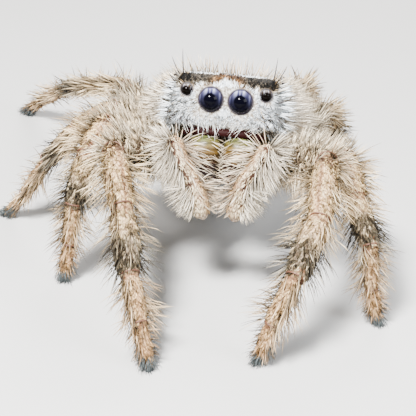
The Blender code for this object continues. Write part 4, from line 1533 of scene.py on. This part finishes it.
def cheek_hairs(head, rng):
    """Long pale hairs on the sides of the head, laid back and outwards."""
    across, back, up = head_cells(head)
    cheeks = ease(0.95, 1.25, np.abs(across)) * ease(0.60, 0.25, up)
    cheeks = cheeks * ease(0.14, 0.44, back) * ease(4.3, 3.4, back)
    cheeks = cheeks * off_eyes(across, back, up, 0.02) * (1.0 + 1.4 * (back < 1.5))
    spots = scatter(head, 3000, rng, cheeks)
    across, back, up = to_head(spots["root"]).T
    lay = head_lay(0.5 * np.sign(across), 0.95, np.clip(up * 0.8, -0.8, 0.5))
    reach = sizes().mane_hair / MM * (0.62 + 0.5 * ease(0.4, 1.2, back))
    reach = reach * (0.8 + 0.2 * ease(-1.2, 0.0, up))
    return hairs(spots, rng, reach, 0.032, 46.0, lay, curl=0.35, spread=0.10, wave=0.22, rings=3, white=0.24,
                 clump=0.40, members=5, least_tone=0.48)


def crown_bristles(head, rng):
    """Sparse long hairs that stand on the crown."""
    across, back, up = head_cells(head)
    top = ease(0.2, 0.5, up) * ease(0.5, 0.8, back) * off_eyes(across, back, up, 0.02)
    spots = scatter(head, 90, rng, top)
    lay = head_lay(0.3 * to_head(spots["root"])[:, 0], 0.8, 0.9)
    return hairs(spots, rng, 0.42, 0.016, 60.0, lay, curl=0.2, spread=0.16, wave=0.2, rings=4, flat=0.9,
                 white=0.3)


class SPIDER_OT_head_coat(Operator):
    """Cream hair of the cheeks, the sides of the head and the thorax"""

    bl_idname = "spider.head_coat"
    bl_label = "Head and thorax coat"

    def execute(self, context):
        rng, head = np.random.default_rng(23), head_surface()
        growers = (flank_hairs, crown_hairs, nape_hairs, cheek_hairs, crown_bristles)
        coat_piece("head_coat", [grow(head, rng) for grow in growers])
        return {"FINISHED"}


class SPIDER_OT_abdomen_coat(Operator):
    """Hair of the abdomen: a short and a longer coat that lie towards the tail, a ruff that stands
    forwards at its front end, and sparse long hairs"""

    bl_idname = "spider.abdomen_coat"
    bl_label = "Abdomen coat"

    def execute(self, context):
        rng, belly = np.random.default_rng(37), abdomen_surface()
        along, columns = belly["along"][:-1, None], len(belly["turns"])
        crowding = np.repeat(1.0 + 1.5 * ease(0.30, 0.10, along), columns, axis=1)
        at_front = np.repeat(ease(0.16, 0.06, along), columns, axis=1)
        short = hairs(scatter(belly, 9400, rng, crowding), rng, 0.32, 0.036, 16.0, curl=0.3, clump=0.5)
        longer = hairs(scatter(belly, 3400, rng), rng, 0.42, 0.024, 26.0, spread=0.14, wave=0.2, rings=3,
                       white=0.12, clump=0.5, members=5)
        spots = scatter(belly, 700, rng, at_front)
        ruff = hairs(spots, rng, 0.46, 0.026, 58.0, -spots["along"], curl=0.3, spread=0.16, wave=0.2, rings=3,
                     white=0.10, clump=0.4, members=5)
        sparse = hairs(scatter(belly, 160, rng), rng, 0.44, 0.016, 50.0, curl=0.3, spread=0.2, wave=0.3,
                       rings=4, flat=0.9, white=0.3)
        coat_piece("abdomen_coat", [short, longer, ruff, sparse])
        return {"FINISHED"}


# Hairs of each length of a feeler: how many lie flat, how many grow for the fan, the share of those
# that stand on its inner side, and the reach of the fan in millimetres.
FEELER_COAT = ((110, 80, 0.10, 0.34), (300, 400, 0.26, 0.62), (340, 470, 0.26, 0.68), (380, 500, 0.16, 0.64),
               (900, 760, 0.50, 0.54))


def feeler_hairs(part, limbs, side, rng):
    """Flat hairs of one length of a feeler, and the fan that stands out from both its sides. On the last
    length both stop short of the tip, where the fan is shorter too."""
    last = part["number"] == FEELER_LAST
    flat_count, fan_count, inner, fan_reach = FEELER_COAT[part["number"]]
    axes = head_frame()[1]
    spots = clear_of(scatter(part, flat_count, rng), limbs)
    spots = chosen(spots, spots["t"] < (0.80 if last else 1.0))
    flat = hairs(spots, rng, 0.15, 0.028, 14.0, spread=0.10, wave=0.14, clump=0.4, least_tone=0.34)
    fan = clear_of(scatter(part, fan_count, rng), limbs)
    fan = chosen(fan, fan["t"] < (0.74 if last else 1.0))
    local = fan["normal"] @ axes.T
    outer = local[:, 0] * side
    chance = np.where(outer > 0, ease(0.30, 0.70, outer), inner * ease(0.35, 0.75, -outer))
    fan = chosen(fan, rng.random(len(outer)) < np.maximum(chance, 0.05 + 0.12 * (local[:, 1] > 0.3)))
    across, back, _ = (fan["normal"] @ axes.T).T
    reach = fan_reach * (0.75 + 0.35 * np.abs(across))
    if last:
        reach *= 1.0 - 0.42 * ease(0.30, 0.74, fan["t"])
    droop = directions(np.sign(across) * 0.42, -0.12, -0.10) @ axes
    steep = (72.0 if last else 62.0) - 36.0 * np.clip(-back, 0.0, 1.0)
    return flat, hairs(fan, rng, reach, 0.033, steep, curl=0.25, bend=droop, spread=0.05, wave=0.08, rings=3,
                       white=0.24, clump=0.20, members=4, least_tone=0.14)


def jaw_hairs(side, rng):
    """Sparse hairs on the front of one jaw, laid inwards and hanging."""
    axes = head_frame()[1]
    jaw = {**jaw_surface(side), "kind": "feeler", "number": 0}
    spots = scatter(jaw, 150, rng)
    spots = chosen(spots, ((spots["normal"] @ axes.T)[:, 1] < 0.2) & (spots["t"] > 0.06))
    lay = np.tile((-side * 0.9, -0.1, -0.35), (len(spots["root"]), 1)) @ axes
    return hairs(spots, rng, 0.32, 0.017, 26.0, lay, rings=3, white=0.1, bend=-0.4 * UP, least_tone=0.4)


class SPIDER_OT_feeler_coat(Operator):
    """Long pale fringes of both feelers, and sparse hairs over the jaws"""

    bl_idname = "spider.feeler_coat"
    bl_label = "Feeler and jaw coat"

    def execute(self, context):
        rng = np.random.default_rng(41)
        batches = []
        for side in SIDES.values():
            limbs = feeler_limbs(side)
            for part in limbs:
                batches += feeler_hairs(part, limbs, side, rng)
            batches.append(jaw_hairs(side, rng))
        coat_piece("feeler_coat", batches)
        return {"FINISHED"}


# Hairs of a leg, for each length: how many lie flat, how many stand out, the reach of those that stand
# out against the fringe length, and for the flat ones their reach against the flat length, their lift in
# degrees and their least tone.
LEG_COAT = {
    "coxa": (280, 110, 0.70, 1.0, 30.0, 0.0),
    "femur": (1300, 680, 0.92, 1.0, 24.0, 0.06),
    "patella": (2500, 330, 1.10, 0.54, 11.0, 0.10),
    "tibia": (2300, 310, 1.00, 0.60, 14.0, 0.04),
    "metatarsus": (1700, 290, 0.96, 0.56, 12.0, 0.18),
    "tarsus": (900, 170, 0.48, 0.52, 13.0, 0.18),
}

# Half width, as a turn, of the line along the top of the patella where few hairs grow.
MIDLINE = 0.21


def flat_leg_hairs(part, limbs, scale, rng):
    """Hairs that lie along a length of a leg, thin on the patella's midline and on top of each joint.
    Those of the thigh are combed upwards."""
    segment = part["kind"]
    count, _, _, reach, lift, least_tone = LEG_COAT[segment]
    spots = clear_of(scatter(part, count * scale, rng), limbs)
    chance = rng.random(len(spots["turn"]))
    if segment == "patella":
        spots = chosen(spots, (off_top(spots["turn"]) > MIDLINE) | (chance < 0.15))
    if segment != "tarsus":
        chance = rng.random(len(spots["turn"]))
        spots = chosen(spots, (spots["t"] < 0.93) | (off_top(spots["turn"]) > 1.2) | (chance < 0.4))
    combed = spots["along"] * 0.5 + 0.8 * UP if segment == "femur" else None
    return hairs(spots, rng, sizes().flat_hair / MM * reach * scale, 0.034, lift, combed, curl=0.3, wave=0.22,
                 clump=0.55, members=6, least_tone=least_tone)


def fringe_spots(part, limbs, scale, rng):
    """Spots on both sides of a length of a leg, and a few on top of it. The tarsus has none at its end."""
    count, thigh = LEG_COAT[part["kind"]][1], part["kind"] in THIGH
    fan = clear_of(scatter(part, count * scale * 1.5, rng), limbs)
    side_on, above = np.abs(np.cos(fan["turn"])), np.sin(fan["turn"]) >= 0.2
    stray = rng.random(len(side_on)) < (0.45 if thigh else 0.10)
    fan = chosen(fan, (side_on > (0.62 if thigh else 0.70)) | stray & above)
    return chosen(fan, fan["t"] < 0.8) if part["kind"] == "tarsus" else fan


def fringe_lift(spots, most, less_in_front):
    """How far fringe hairs stand out, in degrees: less where the skin faces forwards."""
    return most - less_in_front * np.clip(-spots["normal"][:, 1], 0.0, 1.0)


def thigh_hairs(part, limbs, scale, rng):
    """Long hairs that hang from the underside of a thigh."""
    under = scatter(part, 560 * scale, rng)
    under = clear_of(chosen(under, np.sin(under["turn"]) < 0.1), limbs)
    return hairs(under, rng, sizes().fringe_hair / MM * 1.2 * scale, 0.030, fringe_lift(under, 60.0, 38.0),
                 curl=0.3, spread=0.10, wave=0.2, bend=-0.7 * UP, rings=3, white=0.14, dark=-0.06, clump=0.45,
                 members=5, least_tone=0.12)


def leg_coat(leg, rng):
    """Batches of hairs for one leg: flat hairs all round, long hairs under the thigh, and fringes that
    stand out from both sides."""
    limbs, scale = leg_limbs(leg), LEG_SCALE[int(leg[-1])]
    batches = []
    for part in limbs:
        thigh = part["kind"] in THIGH
        batches.append(flat_leg_hairs(part, limbs, scale, rng))
        fan = fringe_spots(part, limbs, scale, rng)
        if thigh:
            batches.append(thigh_hairs(part, limbs, scale, rng))
        length = sizes().fringe_hair / MM * LEG_COAT[part["kind"]][2] * scale
        batches.append(hairs(fan, rng, length, 0.030, fringe_lift(fan, 50.0 if thigh else 60.0, 26.0),
                             bend=(0.7 if thigh else 0.12) * UP, curl=0.45, spread=0.06, wave=0.15, rings=3,
                             white=0.12, dark=0.04, uneven=0.30, clump=0.25, members=4))
    return batches


class SPIDER_OT_leg_coat(Operator):
    """Flat hairs and side fringes of one leg"""

    bl_idname = "spider.leg_coat"
    bl_label = "Leg coat"

    leg: EnumProperty(name="Leg", description="Which leg",
                      items=[(leg, leg.replace("_", " "), "") for leg in LEGS])

    def execute(self, context):
        rng = np.random.default_rng(101 + LEGS.index(self.leg))
        coat_piece(f"{self.leg}_coat", leg_coat(self.leg, rng))
        return {"FINISHED"}


class SPIDER_OT_joint_rims(Operator):
    """Thin raised rims of bare rust horn where the lengths of each leg meet"""

    bl_idname = "spider.joint_rims"
    bl_label = "Joint rims"

    def execute(self, context):
        rings = []
        for leg in LEGS:
            limbs = leg_limbs(leg)[1:]
            for part, following in zip(limbs, limbs[1:]):
                radius = part["radii"][2]
                middle = part["end"] - part["ahead"] * radius * 0.45 + part["dorsal"] * 0.035
                pole = unit(part["ahead"] + 0.5 * following["ahead"] + 0.25 * part["dorsal"])
                rings.append(ring_surface(middle, pole, radius * 0.97, 0.015, rows=26, columns=6))
        rust = colours().rust
        horn = hard_material("joint horn", rust, tuple(1.6 * c for c in rust), 0.55)
        rings_piece("joint_rims", rings, horn, 0.4)
        return {"FINISHED"}


class SPIDER_OT_feet(Operator):
    """Two hooked claws and a dark tuft at the tip of every leg"""

    bl_idname = "spider.feet"
    bl_label = "Feet"

    def execute(self, context):
        hooks, batches = [], []
        rng = np.random.default_rng(71)
        for leg in LEGS:
            tip = leg_limbs(leg)[-1]
            end = tip["end"] - tip["ahead"] * 0.02
            for side in (-1.0, 1.0):
                start = end + tip["sideways"] * side * 0.045 + tip["dorsal"] * 0.03
                ahead = tip["ahead"] + 0.5 * tip["dorsal"] + side * 0.25 * tip["sideways"]
                bend = tip["ahead"] * 0.2 - tip["dorsal"]
                hook = hook_surface(start, ahead, bend, 0.15, 0.018, rows=10, columns=8)
                hook["points"][..., 2] = np.maximum(hook["points"][..., 2], FLOOR_GAPS["claw"])
                hooks.append(hook)
            far, under = tip["along"][:-1, None], np.sin(tip["turns"])[None, :] < 0.35
            spots = scatter(tip, 340, rng, ((far > 0.70) | (far > 0.46) & under).astype(float))
            batches.append(hairs(spots, rng, 0.31, 0.019, 30.0, curl=0.25, bend=-0.45 * UP, spread=0.20,
                                 dark=0.2, warm=-0.6, white=-0.05, uneven=0.50, clump=0.3, members=6))
        claw_horn = hard_material("claw horn", (0.05, 0.03, 0.02), (0.01, 0.008, 0.008), 0.25)
        shells_piece("claws", hooks, claw_horn)
        coat_piece("foot_tufts", batches, tuft_material())
        return {"FINISHED"}


# Black bristles: the sides that have it, root across, back and up on the left, its direction, its length
# and the direction that it bends to.
BRISTLES = (
    ("both", (1.10, 0.40, 0.54), (0.20, -0.20, 1.0), 0.66, (-0.05, 0.0, 0.2)),
    ("both", (1.18, 0.52, 0.52), (0.55, -0.05, 1.0), 0.56, (-0.20, 0.0, 0.3)),
    ("right", (1.24, 0.42, 0.30), (0.8, -0.20, 0.6), 0.40, (-0.1, 0.0, 0.5)),
    ("right", (1.30, 0.50, 0.12), (1.0, -0.20, 0.5), 0.44, (-0.1, 0.0, 0.7)),
    ("left", (1.14, 0.22, 0.04), (1.0, -0.60, -0.1), 0.74, (-0.2, 0.0, 1.1)),
    ("left", (1.30, 0.50, 0.30), (0.8, -0.10, 0.4), 0.36, (0.1, 0.0, 0.5)),
    ("both", (0.98, 0.20, -0.46), (0.35, -1.0, 0.3), 0.50, (-0.4, 0.3, -1.6)),
    ("both", (1.08, 0.24, -0.44), (0.5, -1.0, 0.3), 0.52, (-0.1, 0.3, -1.6)),
    ("both", (1.16, 0.30, -0.36), (0.7, -0.9, 0.4), 0.48, (0.2, 0.3, -1.5)),
    ("both", (0.86, 0.14, -0.54), (0.2, -1.0, 0.2), 0.46, (-0.7, 0.3, -1.4)),
    ("both", (0.72, 0.10, -0.62), (0.0, -0.6, -0.3), 0.30, (-0.5, 0.0, -0.7)),
)


def bristle_surface(side, entry, rng, columns=7, rows=12):
    """A thin cone carried along a line that starts in one direction and turns towards another. Its
    mark is the share along it."""
    root, ahead, length, bend = entry[1:]
    axes = head_frame()[1]
    mirror = np.array((side, 1.0, 1.0))
    start = from_head(np.array(root) * mirror)
    first = unit((np.array(ahead) + 0.08 * rng.normal(size=3)) * mirror @ axes)
    last = unit(first + np.array(bend) * mirror @ axes)
    t, turns = np.linspace(0.0, 1.0, rows)[:, None], full_turn(columns)
    length *= rng.uniform(0.9, 1.08)
    line = start + length * (first * (t - t * t / 2) + last * t * t / 2)
    tangent = unit(first * (1 - t) + last * t)
    sideways = unit(np.cross(tangent, axes[1] + 0.01))
    size = 0.020 * (1 - t[:, 0]) ** 0.6
    size[0] = 0.0
    points = line[:, None, :] + size[:, None, None] * circle(turns, sideways, np.cross(tangent, sideways))
    return surface("bristle", points, t[:, 0], turns, marks={"along": t})


class SPIDER_OT_bristles(Operator):
    """Black bristles at the corners of the head, beside the eyes and at the corners of the face"""

    bl_idname = "spider.bristles"
    bl_label = "Bristles"

    def execute(self, context):
        rng = np.random.default_rng(5)
        shells = [bristle_surface(side, entry, rng) for word, side in SIDES.items()
                  for entry in BRISTLES if entry[0] in (word, "both")]
        bristle_horn = hard_material("bristle horn", (0.012, 0.009, 0.008), (0.03, 0.02, 0.02), 0.3)
        shells_piece("bristles", shells, bristle_horn)
        return {"FINISHED"}


# The stage: lights by name, with place in millimetres, size, power in watts and colour.
LIGHTS = (
    ("key", (-16.0, -38.0, 52.0), 11.0, 0.37, (1.0, 0.985, 0.965)),
    ("fill", (46.0, -34.0, 34.0), 30.0, 0.070, (0.93, 0.96, 1.0)),
    ("rim", (14.0, 50.0, 46.0), 30.0, 0.090, (1.0, 0.97, 0.95)),
)
LIT_PLACE = (0.0, -3.0, 2.0)
SURROUND, SURROUND_STRENGTH = (0.80, 0.84, 0.90, 1.0), 0.05
FLOOR_HALF, FLOOR_CELLS = 400.0, 8

# The camera: how far it looks down and leans, how far the face stands right of and above the middle of
# its view in millimetres, and its lens and sensor.
VIEW_RISE, VIEW_ROLL = math.radians(26.0), math.radians(3.4)
FACE_RIGHT, FACE_ABOVE = 0.423, 2.582
LENS, SENSOR = 108.0, 36.0


class SPIDER_OT_stage(Operator):
    """Pale floor, three soft lights, a pale surround and the camera"""

    bl_idname = "spider.stage"
    bl_label = "Stage"

    def execute(self, context):
        mesh = bpy.data.meshes.new("floor")
        steps = np.linspace(-FLOOR_HALF, FLOOR_HALF, FLOOR_CELLS + 1) * MM
        x, y = np.meshgrid(steps, steps)
        points = directions(x, y, 0.0).reshape(-1, 3)
        at = np.arange(x.size).reshape(x.shape)
        quads = np.stack((at[:-1, :-1], at[:-1, 1:], at[1:, 1:], at[1:, :-1]), -1).reshape(-1, 4)
        fill_mesh(mesh, points, quads, NO_FANS)
        mesh.materials.append(floor_material())
        floor = bpy.data.objects.new("floor", mesh)
        context.scene.collection.objects.link(floor)
        for name, place, size, power, colour in LIGHTS:
            light = bpy.data.lights.new(name, "AREA")
            light.size = size * MM
            light.energy = power
            light.color = colour
            lamp = bpy.data.objects.new(name, light)
            lamp.location = np.array(place) * MM
            lamp.rotation_euler = (lamp.location - Vector(LIT_PLACE) * MM).to_track_quat("Z", "Y").to_euler()
            context.scene.collection.objects.link(lamp)
        world = bpy.data.worlds.new("surround")
        context.scene.world = world
        world.use_nodes = True
        background = world.node_tree.nodes["Background"]
        background.inputs["Color"].default_value = SURROUND
        background.inputs["Strength"].default_value = SURROUND_STRENGTH
        place_camera(context)
        return {"FINISHED"}


def place_camera(context):
    """A long lens at the view distance from the front eyes, raised, a little rolled, and aimed beside
    and below them, so that the face stands where it should in the frame."""
    rise, roll = VIEW_RISE, VIEW_ROLL
    ahead = np.array((0.0, math.cos(rise), -math.sin(rise)))
    level, above = np.array((1.0, 0.0, 0.0)), np.array((0.0, math.sin(rise), math.cos(rise)))
    right = math.cos(roll) * level + math.sin(roll) * above
    up = -math.sin(roll) * level + math.cos(roll) * above
    face = head_frame()[0]
    place = face - FACE_RIGHT * right - FACE_ABOVE * up - sizes().view_distance / MM * ahead
    camera = bpy.data.cameras.new("camera")
    camera.lens, camera.sensor_width = LENS, SENSOR
    camera.clip_start = 0.001
    camera.clip_end = 10.0
    obj = bpy.data.objects.new("camera", camera)
    turn = Matrix((right, up, -ahead)).transposed().to_4x4()
    obj.matrix_world = Matrix.Translation(place * MM) @ turn
    context.scene.collection.objects.link(obj)
    context.scene.camera = obj


class SPIDER_PT_panel(Panel):
    """Sidebar panel with the sizes, the colours and the makers of all pieces"""

    bl_idname = "SPIDER_PT_panel"
    bl_label = "Jumping spider"
    bl_space_type = "VIEW_3D"
    bl_region_type = "UI"
    bl_category = "Spider"

    def draw(self, context):
        layout = self.layout
        for group in (context.scene.spider_sizes, context.scene.spider_colours):
            column = layout.column()
            for word in group.__annotations__:
                column.prop(group, word)
        for maker in MAKERS:
            layout.operator(maker.bl_idname)


MAKERS = (SPIDER_OT_stage, SPIDER_OT_skin, SPIDER_OT_eyes, SPIDER_OT_jaws, SPIDER_OT_bristles,
          SPIDER_OT_face_coat, SPIDER_OT_head_coat, SPIDER_OT_abdomen_coat, SPIDER_OT_feeler_coat,
          SPIDER_OT_leg_coat, SPIDER_OT_joint_rims, SPIDER_OT_feet)
CLASSES = (SpiderSizes, SpiderColours) + MAKERS + (SPIDER_PT_panel,)


def register():
    for cls in CLASSES:
        bpy.utils.register_class(cls)
    bpy.types.Scene.spider_sizes = PointerProperty(type=SpiderSizes)
    bpy.types.Scene.spider_colours = PointerProperty(type=SpiderColours)


def unregister():
    del bpy.types.Scene.spider_sizes
    del bpy.types.Scene.spider_colours
    for cls in reversed(CLASSES):
        bpy.utils.unregister_class(cls)


def main():
    register()
    bpy.ops.spider.stage()
    bpy.ops.spider.skin()
    bpy.ops.spider.eyes()
    bpy.ops.spider.jaws()
    bpy.ops.spider.bristles()
    bpy.ops.spider.face_coat()
    bpy.ops.spider.head_coat()
    bpy.ops.spider.abdomen_coat()
    bpy.ops.spider.feeler_coat()
    for leg in LEGS:
        bpy.ops.spider.leg_coat(leg=leg)
    bpy.ops.spider.joint_rims()
    bpy.ops.spider.feet()


if __name__ == "__main__":
    main()
